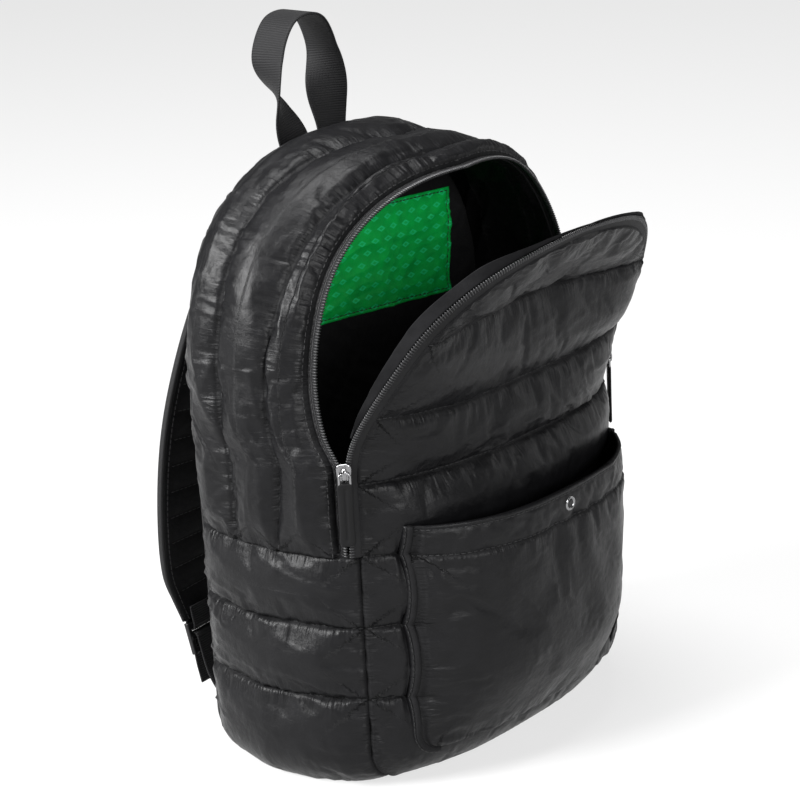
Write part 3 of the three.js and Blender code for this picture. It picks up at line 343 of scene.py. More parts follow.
def front_sheet(x, v, out):
    """The front panel: flat below the fold, leaning above it, bowed out in the middle, with the
    flap's shoulders bent forward. out is the distance in front of it."""
    size = bpy.context.scene.bag_sizes
    fold = size.slider_z - size.fold_below
    y, z, lean = spine(v)
    bend = ((x / size.seam_half) ** 2 - 0.35) * size.flap_warp * fade(v, fold, size.top_z)
    forward = front_bulge(x, v) + bend + out
    return np.stack(np.broadcast_arrays(x, y - forward * np.cos(lean), z - forward * np.sin(lean)), -1)


def front_lines():
    size = bpy.context.scene.bag_sizes
    return np.array([size.base_z, *LOWER_LINES[::-1], size.side_seam_z, *FLAP_LINES, size.top_z])


def front_puff(x, v):
    """The wadding of the front panel: a channel between each pair of stitch lines."""
    size = bpy.context.scene.bag_sizes
    lines = front_lines()
    i = np.clip(np.searchsorted(lines, v, side="right"), 1, len(lines) - 1)
    part = (v - lines[i - 1]) / (lines[i] - lines[i - 1])
    return size.front_puff * puffed(part) * fade(seam_half(v) - np.abs(x), 0, 24 * MM)


def side_offset(line, s, t, start):
    size = bpy.context.scene.bag_sizes
    x, z, nx, nz = line.at(s)
    square = np.where(z > size.spring_z, 2 * np.abs(nx * nz) * size.shoulder_flare, 0)
    skewed = t ** (1 + 0.35 * fade(z, size.spring_z, size.top_z))
    slumped = fade(x, 0, size.seam_half / 2) * fade(z, size.spring_z, (size.spring_z + size.top_z) / 2)
    bow = size.side_bulge * (1 - size.slump * slumped) * np.maximum(np.sin(np.pi * skewed), 0) ** 0.7
    return start * (1 - t) ** 2 + (size.back_flare + square) * t + bow


def side_sheet(line, s, t, front_y, start, out):
    """The sides: the seam outline, pushed out where the stuffing bows them, from the front edge
    (t = 0) to the back seam (t = 1). The base is pressed flat on the floor."""
    size = bpy.context.scene.bag_sizes
    x, z, nx, nz = line.at(s)
    offset = side_offset(line, s, t, start) + out
    y = front_y + (size.body_depth / 2 - front_y) * t
    return np.stack(np.broadcast_arrays(x + nx * offset, y, np.maximum(z + nz * offset, np.maximum(-out, 0))), -1)


def teeth_offset():
    return bpy.context.scene.bag_sizes.tape_width * math.cos(ZIP_TURN)


def teeth_y(line, s):
    """Depth of the body half's teeth: closed below the sliders, gaping above them."""
    size = bpy.context.scene.bag_sizes
    flap = -size.body_depth / 2 - GAP - WALL / 2 + size.tape_width * math.sin(ZIP_TURN)
    closed = flap + size.teeth_thickness / 2 * math.cos(ZIP_TURN) + GAP
    return closed + size.body_depth * np.maximum(through(GAPE, line.crown(s)), 0)


# Meshes

def normals_of(points):
    """Normals of a grid of points, from the differences to its neighbours."""
    n = np.cross(np.gradient(points, axis=0), np.gradient(points, axis=1))
    return n / np.maximum(np.linalg.norm(n, axis=-1, keepdims=True), 1e-12)


def facing(points, towards):
    """The normals of a grid, on the side that the directions in towards point to."""
    n = normals_of(points)
    return n * np.where((n * towards).sum(-1, keepdims=True) < 0, -1.0, 1.0)


class Part:
    """Points, texture coordinates in millimetres, four-sided and three-sided faces, facing outwards.
    seam holds, in millimetres, how far along the nearest seam a point lies and how far away from it."""

    def __init__(self, points, uv, quads, tris=None, material=None, seam=None):
        self.points = points.reshape(-1, 3)
        self.seam = np.zeros((len(self.points), 2)) if seam is None else seam.reshape(-1, 2)
        self.uv = np.broadcast_to(uv, (*points.shape[:-1], 2)).reshape(-1, 2)
        self.quads = quads.reshape(-1, 4)
        self.tris = np.zeros((0, 3), int) if tris is None else tris.reshape(-1, 3)
        self.material = np.zeros(len(self.quads), int) if material is None else material
        p = self.points
        a, b, c, d = (p[self.quads[:, k]] for k in range(4))
        volume = np.einsum("ij,ij->", a, np.cross(b, c)) + np.einsum("ij,ij->", a, np.cross(c, d))
        a, b, c = (p[self.tris[:, k]] for k in range(3))
        if volume + np.einsum("ij,ij->", a, np.cross(b, c)) < 0:
            self.quads = self.quads[:, ::-1]
            self.tris = self.tris[:, ::-1]


def build(name, parts, materials, smooth=True):
    """One mesh object from several parts, with its finishes in its material slots."""
    points, uvs, seams, quads, tris, kinds = [], [], [], [], [], []
    start = 0
    for part in parts:
        points.append(part.points)
        uvs.append(part.uv)
        seams.append(part.seam)
        quads.append(part.quads + start)
        tris.append(part.tris + start)
        kinds.append(part.material)
        start += len(part.points)
    points, uvs, seams = np.concatenate(points), np.concatenate(uvs), np.concatenate(seams)
    quads, tris = np.concatenate(quads), np.concatenate(tris)
    corners = np.concatenate([quads.ravel(), tris.ravel()]).astype(np.int32)
    sizes = np.concatenate([np.full(len(quads), 4), np.full(len(tris), 3)])
    mesh = bpy.data.meshes.new(name)
    mesh.vertices.add(len(points))
    mesh.vertices.foreach_set("co", points.astype(np.float32).ravel())
    mesh.loops.add(len(corners))
    mesh.loops.foreach_set("vertex_index", corners)
    mesh.polygons.add(len(sizes))
    mesh.polygons.foreach_set("loop_start", np.concatenate([[0], np.cumsum(sizes)[:-1]]).astype(np.int32))
    kind = np.concatenate([*kinds, np.zeros(len(tris), int)]).astype(np.int32)
    mesh.uv_layers.new(name="Cloth").data.foreach_set("uv", uvs[corners].astype(np.float32).ravel())
    if seams.any():
        mesh.uv_layers.new(name="Seam").data.foreach_set("uv", seams[corners].astype(np.float32).ravel())
    for material in materials:
        mesh.materials.append(material)
    mesh.update(calc_edges=True)
    mesh.polygons.foreach_set("material_index", kind)
    if smooth:
        mesh.shade_smooth()
    mesh.validate()
    mesh.update()
    piece = bpy.data.objects.new(name, mesh)
    bpy.context.collection.objects.link(piece)
    return piece


def wall_part(outer, inner, uv, inner_material=0, seam=None):
    """A closed wall between two grids of points, joined round its rim. Its inner side can have a
    finish of its own."""
    rows, columns = outer.shape[:2]
    n = rows * columns
    i, j = np.meshgrid(np.arange(rows - 1), np.arange(columns - 1), indexing="ij")
    a = (i * columns + j).ravel()
    face = np.stack([a, a + columns, a + columns + 1, a + 1], -1)
    i, j = np.arange(rows - 1) * columns, np.arange(columns - 1)
    e, last = columns - 1, (rows - 1) * columns
    rim = np.concatenate([
        np.stack([i, n + i, n + i + columns, i + columns], -1),
        np.stack([i + e, i + columns + e, n + i + columns + e, n + i + e], -1),
        np.stack([j, j + 1, n + j + 1, n + j], -1),
        np.stack([last + j, n + last + j, n + last + j + 1, last + j + 1], -1),
    ])
    quads = np.concatenate([face, n + face[:, ::-1], rim])
    kind = np.concatenate([np.zeros(len(face), int), np.full(len(face), inner_material), np.zeros(len(rim), int)])
    uv = np.broadcast_to(uv, (*outer.shape[:2], 2))
    if seam is not None:
        seam = np.stack([seam, seam])
    return Part(np.stack([outer, inner]), np.stack([uv, uv]), quads, material=kind, seam=seam)


def nearest_seam(*seams):
    """For each point, the place along and the distance from the nearest of several seams."""
    along, away = (np.stack(np.broadcast_arrays(*k)) for k in zip(*seams))
    away = np.abs(away)
    first = away.argmin(0)[None]
    return np.stack([np.take_along_axis(along, first, 0)[0], np.take_along_axis(away, first, 0)[0]], -1) / MM


def bar_part(centre, across, out, profile, closed=False):
    """A bar: a ring of (across, out) offsets carried along a path, with flat ends or joined to its
    own start. The ring can differ from station to station."""
    ring = np.broadcast_to(profile, (len(centre), *profile.shape[-2:]))
    grid = centre[:, None] + ring[..., :1] * across[:, None] + ring[..., 1:] * out[:, None]
    rows, columns = grid.shape[:2]
    i, j = np.meshgrid(np.arange(rows if closed else rows - 1), np.arange(columns), indexing="ij")
    i2, j2 = (i + 1) % rows, (j + 1) % columns
    quads = np.stack([i * columns + j, i2 * columns + j, i2 * columns + j2, i * columns + j2], -1)
    run = np.concatenate([[0], np.cumsum(np.linalg.norm(np.diff(centre, axis=0), axis=1))]) / MM
    uv = np.stack(np.broadcast_arrays(ring[..., 0] / MM, run[:, None]), -1).reshape(-1, 2)
    points = grid.reshape(-1, 3)
    if closed:
        return Part(points, uv, quads)
    n = len(points)
    points = np.concatenate([points, grid[:1].mean(1), grid[-1:].mean(1)])
    uv = np.concatenate([uv, [[0, 0], [0, run[-1]]]])
    j = np.arange(columns)
    k, last = (j + 1) % columns, (rows - 1) * columns
    caps = np.concatenate([np.stack([np.full(columns, n), j, k], -1), np.stack([np.full(columns, n + 1), last + k, last + j], -1)])
    return Part(points, uv, quads, caps)


def ring_of(width, height, power=4.0, around=20):
    """A rounded rectangle as a ring of offsets: a superellipse."""
    a = 2 * np.pi * (np.arange(around) + 0.5) / around
    c, s = np.cos(a), np.sin(a)
    return np.stack([width / 2 * np.sign(c) * np.abs(c) ** (2 / power), height / 2 * np.sign(s) * np.abs(s) ** (2 / power)], -1)


def flat_ring(width, height, steps=12):
    """The ring of a flat band: straight faces with half-round edges, and points spread over its width."""
    r = height / 2
    x = np.linspace(-width / 2 + r, width / 2 - r, steps)
    turn = np.linspace(-np.pi / 2, np.pi / 2, 5)[1:-1]
    return np.concatenate([
        np.stack([x, np.full(steps, -r)], -1),
        np.stack([width / 2 - r + r * np.cos(turn), r * np.sin(turn)], -1),
        np.stack([x[::-1], np.full(steps, r)], -1),
        np.stack([-width / 2 + r - r * np.cos(turn), -r * np.sin(turn)], -1),
    ])


def bead(length_, width, height):
    """A small rounded bar along Y: six rings whose radius follows a half circle, with closed ends."""
    around = 6
    t = np.array([-1.0, -0.85, -0.45, 0.45, 0.85, 1.0])
    r = np.array([0.3, 0.75, 1.0, 1.0, 0.75, 0.3])
    turn = 2 * np.pi * np.arange(around) / around
    x = width / 2 * r[:, None] * np.cos(turn)
    z = height / 2 * r[:, None] * np.sin(turn)
    y = np.broadcast_to(length_ / 2 * t[:, None], x.shape)
    i, j = np.meshgrid(np.arange(len(t) - 1), np.arange(around), indexing="ij")
    k = (j + 1) % around
    quads = np.stack([i * around + j, i * around + k, (i + 1) * around + k, (i + 1) * around + j], -1).reshape(-1, 4)
    last = (len(t) - 1) * around
    caps = np.array([[0, 5, 4, 3], [0, 3, 2, 1], [last, last + 1, last + 2, last + 3], [last, last + 3, last + 4, last + 5]])
    return Part(np.stack([x, y, z], -1), np.zeros(2), np.concatenate([quads, caps]))


def copies(shape, at, xs, ys, zs):
    """Many copies of a small part, each at its own point with its own three directions."""
    p = shape.points
    points = at[:, None] + p[None, :, :1] * xs[:, None] + p[None, :, 1:2] * ys[:, None] + p[None, :, 2:] * zs[:, None]
    quads = shape.quads[None] + len(p) * np.arange(len(at))[:, None, None]
    along = np.broadcast_to(p[None, :, :2] / MM, (len(at), len(p), 2))
    return Part(points, along, quads)


def stations(points, pitch, start=0.5):
    """Evenly spaced places on a line of points: distances along it, to pick anything that is known
    at its points."""
    run = np.concatenate([[0], np.cumsum(np.linalg.norm(np.diff(points, axis=0), axis=1))])
    return np.arange(start * pitch, run[-1], pitch), run


def pick(values, run, at):
    return np.stack([np.interp(at, run, values[:, k]) for k in range(values.shape[1])], -1)


def unit(v):
    return v / np.maximum(np.linalg.norm(v, axis=-1, keepdims=True), 1e-12)


def stitch_row(points, normals, sunk=0.0, pitch=None):
    """A row of stitches on a line: beads lying along it, seated on the surface."""
    size = bpy.context.scene.bag_sizes
    long = size.stitch
    at, run = stations(points, pitch or long * 1.28)
    place, n = pick(points, run, at), unit(pick(normals, run, at))
    y = unit(pick(points, run, at + 0.5 * MM) - pick(points, run, at - 0.5 * MM))
    n = unit(n - y * (n * y).sum(-1, keepdims=True))
    return copies(bead(long, 0.85 * MM, 0.62 * MM), place + n * (0.16 * MM - sunk), np.cross(y, n), y, n)


def curve(knots, pitch):
    """A smooth line through points, by centripetal cubic pieces, resampled at an even pitch."""
    p = np.concatenate([[2 * knots[0] - knots[1]], knots, [2 * knots[-1] - knots[-2]]])
    out = []
    for a, b, c, d in zip(p, p[1:], p[2:], p[3:]):
        t0 = 0.0
        t1 = t0 + np.linalg.norm(b - a) ** 0.5
        t2 = t1 + np.linalg.norm(c - b) ** 0.5
        t3 = t2 + np.linalg.norm(d - c) ** 0.5
        t = np.linspace(t1, t2, 24, endpoint=False)[:, None]
        ab = a * (t1 - t) / (t1 - t0) + b * (t - t0) / (t1 - t0)
        bc = b * (t2 - t) / (t2 - t1) + c * (t - t1) / (t2 - t1)
        cd = c * (t3 - t) / (t3 - t2) + d * (t - t2) / (t3 - t2)
        abc = ab * (t2 - t) / (t2 - t0) + bc * (t - t0) / (t2 - t0)
        bcd = bc * (t3 - t) / (t3 - t1) + cd * (t - t1) / (t3 - t1)
        out.append(abc * (t2 - t) / (t2 - t1) + bcd * (t - t1) / (t2 - t1))
    line = np.concatenate([*out, knots[-1:]])
    run = np.concatenate([[0], np.cumsum(np.linalg.norm(np.diff(line, axis=0), axis=1))])
    at = np.linspace(0, run[-1], max(int(run[-1] / pitch), 2) + 1)
    return pick(line, run, at), at / run[-1]


def tangents(points):
    return unit(np.gradient(points, axis=0))


def finish_piece(piece, slot, *nodes, body="bag"):
    """Puts a piece on its body and hides the solids that it stands for; the slot is not used."""
    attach(piece, body)
    if nodes:
        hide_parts(*nodes)
    return piece


def settled(points, towards, pinned, pressure, slack, cap):
    """Cloth simulation of a grid: the pinned points, on the stitch lines and round the edge, stay,
    the cloth between them is longer than the space it has by the slack, and the wadding presses it
    out. It gathers at the stitches as real cloth does. A point moves by the cap at most."""
    rows, columns = points.shape[:2]
    i, j = np.meshgrid(np.arange(rows - 1), np.arange(columns - 1), indexing="ij")
    a = (i * columns + j).ravel()
    quads = np.stack([a, a + columns, a + columns + 1, a + 1], -1)
    n = normals_of(points)
    if (n * towards).sum() < 0:
        quads = quads[:, ::-1]
    mesh = bpy.data.meshes.new("settling")
    mesh.from_pydata(points.reshape(-1, 3), [], quads)
    mesh.update()
    piece = bpy.data.objects.new("settling", mesh)
    bpy.context.collection.objects.link(piece)
    group = piece.vertex_groups.new(name="stitched")
    group.add(np.flatnonzero(pinned.ravel()).tolist(), 1.0, "REPLACE")
    cloth = piece.modifiers.new("cloth", "CLOTH")
    rules = cloth.settings
    rules.quality = 5
    rules.mass = 0.15
    rules.tension_stiffness = rules.compression_stiffness = 12
    rules.shear_stiffness = 4
    rules.bending_stiffness = 0.02
    rules.tension_damping = rules.compression_damping = rules.shear_damping = 8
    rules.use_pressure = True
    rules.uniform_pressure_force = pressure
    rules.shrink_min = -slack
    rules.vertex_group_mass = group.name
    rules.effector_weights.gravity = 0
    cloth.collision_settings.use_collision = False
    cloth.point_cache.frame_start = 1
    cloth.point_cache.frame_end = 20
    scene = bpy.context.scene
    for step in range(1, 21):
        scene.frame_set(step)
    moved = np.empty(points.size, np.float32)
    result = piece.evaluated_get(bpy.context.evaluated_depsgraph_get())
    result.data.vertices.foreach_get("co", moved)
    scene.frame_set(1)
    bpy.data.objects.remove(piece)
    bpy.data.meshes.remove(mesh)
    move = moved.reshape(points.shape).astype(float) - points
    far = np.linalg.norm(move, axis=-1, keepdims=True)
    return points + move * np.minimum(1, cap / np.maximum(far, 1e-9))


# Finishes

class Finish:
    """The nodes of one material, with short names for those that this bag needs."""

    def __init__(self, name, colour, roughness, **sockets):
        self.material = bpy.data.materials.new(name)
        self.material.use_nodes = True
        self.nodes = self.material.node_tree.nodes
        self.links = self.material.node_tree.links
        self.shader = self.nodes["Principled BSDF"]
        self.set("Base Color", (*colour, 1))
        self.set("Roughness", roughness)
        for socket, value in sockets.items():
            self.set(socket.replace("_", " "), value)

    def set(self, socket, value):
        target = self.shader.inputs[socket]
        if isinstance(value, bpy.types.NodeSocket):
            self.links.new(value, target)
        else:
            target.default_value = value

    def node(self, kind, inputs=(), output=0, **settings):
        made = self.nodes.new(kind)
        for key, value in settings.items():
            setattr(made, key, value)
        for key, value in dict(inputs).items():
            if isinstance(value, bpy.types.NodeSocket):
                self.links.new(value, made.inputs[key])
            else:
                made.inputs[key].default_value = value
        return made.outputs[output]

    def maths(self, kind, a, b=0.0, c=0.0, clamp=False):
        return self.node("ShaderNodeMath", {0: a, 1: b, 2: c}, operation=kind, use_clamp=clamp)

    def cloth(self):
        """Texture coordinates in millimetres along the cloth."""
        return self.node("ShaderNodeUVMap", uv_map="Cloth")

    def split(self, vector):
        made = self.nodes.new("ShaderNodeSeparateXYZ")
        self.links.new(vector, made.inputs[0])
        return made.outputs[0], made.outputs[1]

    def object(self):
        return self.node("ShaderNodeTexCoord", output=3)

    def noise(self, vector, size, detail=2.0, rough=0.5, stretch=(1, 1, 1)):
        """Noise whose grain is about size, in the units of the vector."""
        moved = self.node("ShaderNodeMapping", {"Vector": vector, "Scale": tuple(k / size for k in stretch)})
        return self.node("ShaderNodeTexNoise", {"Vector": moved, "Scale": 1.0, "Detail": detail, "Roughness": rough})

    def waves(self, x, pitch, low=0.0, high=1.0):
        """A sine along x, from low to high, once every pitch."""
        turn = self.maths("SINE", self.maths("MULTIPLY", x, 2 * math.pi / pitch))
        return self.maths("MULTIPLY_ADD", turn, (high - low) / 2, (high + low) / 2)

    def span(self, value, low, high, to_low, to_high):
        return self.node("ShaderNodeMapRange", {0: value, 1: low, 2: high, 3: to_low, 4: to_high})

    def mix(self, share_, a, b):
        made = self.nodes.new("ShaderNodeMix")
        made.data_type = "RGBA"
        self.links.new(share_, made.inputs[0])
        for at, value in ((6, a), (7, b)):
            if isinstance(value, bpy.types.NodeSocket):
                self.links.new(value, made.inputs[at])
            else:
                made.inputs[at].default_value = (*value, 1)
        return made.outputs[2]

    def bump(self, *layers):
        """Bumps one over the other: each layer is a height from 0 to 1 and its depth in metres."""
        under = None
        for height, depth in layers:
            inputs = {"Height": height, "Distance": depth, "Strength": 1.0}
            if under is not None:
                inputs["Normal"] = under
            under = self.node("ShaderNodeBump", inputs)
        self.set("Normal", under)
        return self.material


def scaled(colour, k):
    return tuple(min(c * k, 1.0) for c in colour)


def satin(name, colour, roughness, crinkle):
    """Fine plain-woven nylon with a soft sheen: crinkles of several sizes, a weave and small
    changes of tone."""
    made = Finish(name, colour, roughness, Specular_IOR_Level=0.15)
    uv = made.cloth()
    x, y = made.split(uv)
    soft = made.noise(uv, 14.0, 3.0, 0.55)
    fold = made.noise(uv, 4.5, 3.0, 0.6)
    fine = made.noise(uv, 1.1, 2.0, 0.6)
    weave = made.maths("MULTIPLY", made.waves(x, 0.42), made.waves(y, 0.42))
    along, away = made.split(made.node("ShaderNodeUVMap", uv_map="Seam"))
    beside = made.node("ShaderNodeCombineXYZ", {0: along, 1: made.maths("MULTIPLY", away, 0.16)})
    ridge = made.maths("SUBTRACT", 1.0, made.maths("ABSOLUTE", made.maths("MULTIPLY_ADD", made.noise(beside, 5.0, 2.0), 2.0, -1.0)))
    fading = made.maths("EXPONENT", made.maths("MULTIPLY", away, -0.15))
    uneven = made.span(made.noise(beside, 31.0, 1.0), 0.35, 0.65, 0.25, 1.0)
    tight = made.maths("MULTIPLY", made.maths("MULTIPLY", made.maths("POWER", ridge, 2.0), fading), uneven)
    tone = made.span(soft, 0.3, 0.7, 0.0, 1.0)
    made.set("Base Color", made.mix(tone, scaled(colour, 0.82), scaled(colour, 1.2)))
    dull = made.span(away, 0.5, 2.2, 0.4, 0.0)
    made.set("Roughness", made.maths("ADD", made.span(fold, 0.3, 0.7, roughness - 0.05, roughness + 0.07), dull))
    return made.bump((soft, 0.7 * MM * crinkle), (fold, 0.3 * MM * crinkle), (tight, 1.4 * MM), (fine, 0.06 * MM), (weave, 0.03 * MM))


def ribbed(name, colour, pitch):
    """Woven webbing: ribs across it, fine cords along it and a matte, slightly hairy face."""
    made = Finish(name, colour, 0.62, Sheen_Weight=0.02, Sheen_Roughness=0.5, Specular_IOR_Level=0.16)
    uv = made.cloth()
    x, y = made.split(uv)
    sway = made.noise(uv, 6.0, 1.0)
    ribs = made.waves(made.maths("MULTIPLY_ADD", sway, 0.5, y), pitch)
    cords = made.waves(x, 1.1)
    made.set("Base Color", made.mix(ribs, scaled(colour, 0.6), scaled(colour, 1.5)))
    return made.bump((ribs, 0.16 * MM), (cords, 0.08 * MM), (made.noise(uv, 0.6, 2.0), 0.06 * MM))


def herringbone(name, colour):
    """Zip tape: narrow slanted ribs that change their slant, matte."""
    made = Finish(name, colour, 0.7, Sheen_Weight=0.01, Sheen_Roughness=0.5, Specular_IOR_Level=0.14)
    uv = made.cloth()
    x, y = made.split(uv)
    slant = made.maths("PINGPONG", x, 1.4)
    ribs = made.waves(made.maths("ADD", y, slant), 0.9)
    made.set("Base Color", made.mix(ribs, scaled(colour, 0.65), scaled(colour, 1.35)))
    return made.bump((ribs, 0.09 * MM), (made.noise(uv, 0.7, 2.0), 0.05 * MM))


def printed(name, ground, motif):
    """Smooth lining with a generic half-drop print of small lozenges in rings, and soft creases."""
    made = Finish(name, ground, 0.55, Specular_IOR_Level=0.12)
    uv = made.cloth()
    x, y = made.split(uv)
    row = made.maths("FLOOR", made.maths("DIVIDE", y, 8.0))
    shift = made.maths("MULTIPLY", made.maths("MODULO", made.maths("ABSOLUTE", row), 2.0), 7.0)
    u = made.maths("SUBTRACT", made.maths("FLOORED_MODULO", made.maths("ADD", x, shift), 14.0), 7.0)
    v = made.maths("SUBTRACT", made.maths("FLOORED_MODULO", y, 8.0), 4.0)
    far = made.maths("ADD", made.maths("DIVIDE", made.maths("ABSOLUTE", u), 4.6), made.maths("DIVIDE", made.maths("ABSOLUTE", v), 2.3))
    shape = made.maths("MULTIPLY", made.span(far, 0.92, 1.04, 1.0, 0.0), made.span(far, 0.40, 0.52, 0.25, 1.0))
    soft = made.noise(uv, 16.0, 3.0)
    shade = made.mix(made.span(soft, 0.3, 0.7, 0.0, 1.0), scaled(ground, 0.8), scaled(ground, 1.15))
    made.set("Base Color", made.mix(shape, shade, motif))
    weave = made.maths("MULTIPLY", made.waves(x, 0.5), made.waves(y, 0.5))
    return made.bump((soft, 1.0 * MM), (made.noise(uv, 5.0, 3.0), 0.5 * MM), (weave, 0.04 * MM))


def mesh_cloth(name, colour):
    """Spacer mesh: rows of round holes over a darker ground, soft and matte."""
    made = Finish(name, colour, 0.85, Sheen_Weight=0.05, Sheen_Roughness=0.6, Specular_IOR_Level=0.25)
    uv = made.cloth()
    x, y = made.split(uv)
    row = made.maths("FLOOR", made.maths("DIVIDE", y, 1.8))
    shift = made.maths("MULTIPLY", made.maths("MODULO", made.maths("ABSOLUTE", row), 2.0), 1.1)
    u = made.maths("SUBTRACT", made.maths("FLOORED_MODULO", made.maths("ADD", x, shift), 2.2), 1.1)
    v = made.maths("SUBTRACT", made.maths("FLOORED_MODULO", y, 1.8), 0.9)
    far = made.maths("SQRT", made.maths("ADD", made.maths("MULTIPLY", u, u), made.maths("MULTIPLY", v, v)))
    hole = made.span(far, 0.45, 0.75, 0.0, 1.0)
    made.set("Base Color", made.mix(hole, scaled(colour, 0.25), scaled(colour, 1.3)))
    return made.bump((hole, 0.45 * MM), (made.noise(uv, 9.0, 2.0), 0.8 * MM))


def woven_label(name, colour):
    """A plain woven label: close ribs one way and a fine grain."""
    made = Finish(name, colour, 0.55, Sheen_Weight=0.03, Sheen_Roughness=0.4, Specular_IOR_Level=0.3)
    uv = made.cloth()
    x, y = made.split(uv)
    ribs = made.waves(y, 0.55)
    made.set("Base Color", made.mix(made.noise(uv, 2.5, 2.0), scaled(colour, 0.8), scaled(colour, 1.25)))
    return made.bump((ribs, 0.07 * MM), (made.waves(x, 0.8), 0.03 * MM))


def thread(name, colour):
    """Sewing thread: slanted plies with a light sheen."""
    made = Finish(name, colour, 0.45, Sheen_Weight=0.03, Sheen_Roughness=0.4, Specular_IOR_Level=0.35)
    x, y = made.split(made.cloth())
    plies = made.waves(made.maths("ADD", x, y), 0.55)
    made.set("Base Color", made.mix(plies, scaled(colour, 0.6), scaled(colour, 1.4)))
    return made.bump((plies, 0.06 * MM))


def moulded(name, colour, roughness, grain, gloss=0.3):
    """Moulded plastic or rubber: a fine grain and faint changes of gloss."""
    made = Finish(name, colour, roughness, Specular_IOR_Level=gloss)
    at = made.object()
    cloudy = made.noise(at, 6 * MM, 3.0)
    made.set("Base Color", made.mix(cloudy, scaled(colour, 0.85), scaled(colour, 1.2)))
    made.set("Roughness", made.span(cloudy, 0.3, 0.7, roughness - 0.06, roughness + 0.06))
    return made.bump((made.noise(at, grain, 2.0), 0.06 * MM))


def cast_metal(name, colour):
    """Plated die-cast metal: smooth, with small dents, dull patches and fine rubbing marks."""
    made = Finish(name, colour, 0.24, Metallic=1.0)
    at = made.object()
    worn = made.noise(at, 2.2 * MM, 3.0)
    rubbed = made.noise(at, 0.5 * MM, 2.0, stretch=(1, 1, 6))
    made.set("Base Color", made.mix(worn, scaled(colour, 0.8), scaled(colour, 1.1)))
    made.set("Roughness", made.span(worn, 0.3, 0.7, 0.16, 0.36))
    return made.bump((worn, 0.05 * MM), (rubbed, 0.012 * MM))


def paper(name, colour):
    """The seamless paper of the floor: matte, with a faint grain."""
    made = Finish(name, colour, 0.9, Specular_IOR_Level=0.2)
    grain = made.noise(made.object(), 0.004, 2.0)
    made.set("Base Color", made.mix(grain, scaled(colour, 0.99), scaled(colour, 1.01)))
    made.set("Emission Color", (1, 1, 1, 1))
    made.set("Emission Strength", 0.68)
    return made.bump((grain, 0.02 * MM))


def finish_of(kind):
    """Each finish is made once and then shared."""
    tone = bpy.context.scene.bag_colours
    kind = f"bag_{kind}"
    known = bpy.data.materials.get(kind)
    if known:
        return known
    makers = {
        "shell_satin": lambda: satin(kind, tone.shell, 0.36, 1.0),
        "lining_nylon": lambda: satin(kind, tone.lining, 0.46, 1.3),
        "facing_nylon": lambda: satin(kind, scaled(tone.shell, 1.2), 0.55, 0.8),
        "printed_lining": lambda: printed(kind, tone.patch, tone.motif),
        "webbing": lambda: ribbed(kind, tone.webbing, 1.7),
        "binding": lambda: ribbed(kind, tone.tape, 0.9),
        "zip_tape": lambda: herringbone(kind, tone.tape),
        "back_mesh": lambda: mesh_cloth(kind, tone.webbing),
        "label_weave": lambda: woven_label(kind, tone.webbing),
        "thread": lambda: thread(kind, scaled(tone.shell, 1.3)),
        "zip_teeth": lambda: moulded(kind, tone.teeth, 0.32, 0.5 * MM),
        "pull_rubber": lambda: moulded(kind, tone.rubber, 0.6, 0.35 * MM, 0.15),
        "buckle_plastic": lambda: moulded(kind, tone.webbing, 0.42, 0.4 * MM),
        "plated_metal": lambda: cast_metal(kind, tone.metal),
        "paper": lambda: paper(kind, tone.floor),
    }
    return makers[kind.removeprefix("bag_")]()


# Quilted panels

def snapped(values, lines, beside=0.9 * MM):
    """Grid stations with the nearest ones moved onto the stitch lines and one more to each side."""
    values = np.asarray(values)
    keep = np.abs(values[:, None] - np.asarray(lines)[None]).min(1) > 1.4 * beside
    extra = np.concatenate([[line - beside, line, line + beside] for line in lines])
    return np.sort(np.concatenate([values[keep], extra]))


def front_grid(line):
    """Stations of the front panel: heights up the panel and places across it, denser at the edge."""
    size = bpy.context.scene.bag_sizes
    s = np.arange(size.base_half - size.base_corner, line.total / 2, 2 * MM)
    v = line.point(s)[1]
    v = v[np.concatenate([[True], np.diff(v) > 0.15 * MM])]
    lines = front_lines()
    v = snapped(np.concatenate([[size.base_z], v[v > size.base_z + 0.3 * MM], [size.top_z - 0.4 * MM]]), lines[1:-1])
    share_ = np.linspace(-1, 1, 151)
    spread = 0.5 * share_ + 0.5 * np.sin(np.pi / 2 * share_)
    v = v[:, None]
    return np.broadcast_to(v, (len(v), len(spread))), spread[None] * seam_half(v)


def front_relief(x, v):
    """Gathers at the stitch lines and at the edge, long creases, and the dents of the lines."""
    size = bpy.context.scene.bag_sizes
    height = np.zeros_like(x)
    edge = seam_half(v) - np.abs(x)
    for k, line in enumerate(front_lines()[1:-1]):
        d = v - line
        side = np.where(d < 0, 1.0, 0.6)
        height += size.pucker * side * gathers(x, d, 11 + 7 * k) + 1.3 * MM * groove(d)
    height += 0.8 * size.pucker * gathers(v + 0.4 * x, edge, 91, 8 * MM, 12 * MM)
    height += size.crease * creases(x, v, 120) * fade(edge, 0, 16 * MM)
    covered = fade(size.pocket_half + 3 * MM - np.abs(x), 0, 4 * MM) * fade(size.pocket_top - 3 * MM - v, 0, 6 * MM)
    covered *= fade(v - size.pocket_bottom + 3 * MM, 0, 4 * MM)
    return height * (1 - 0.9 * covered)


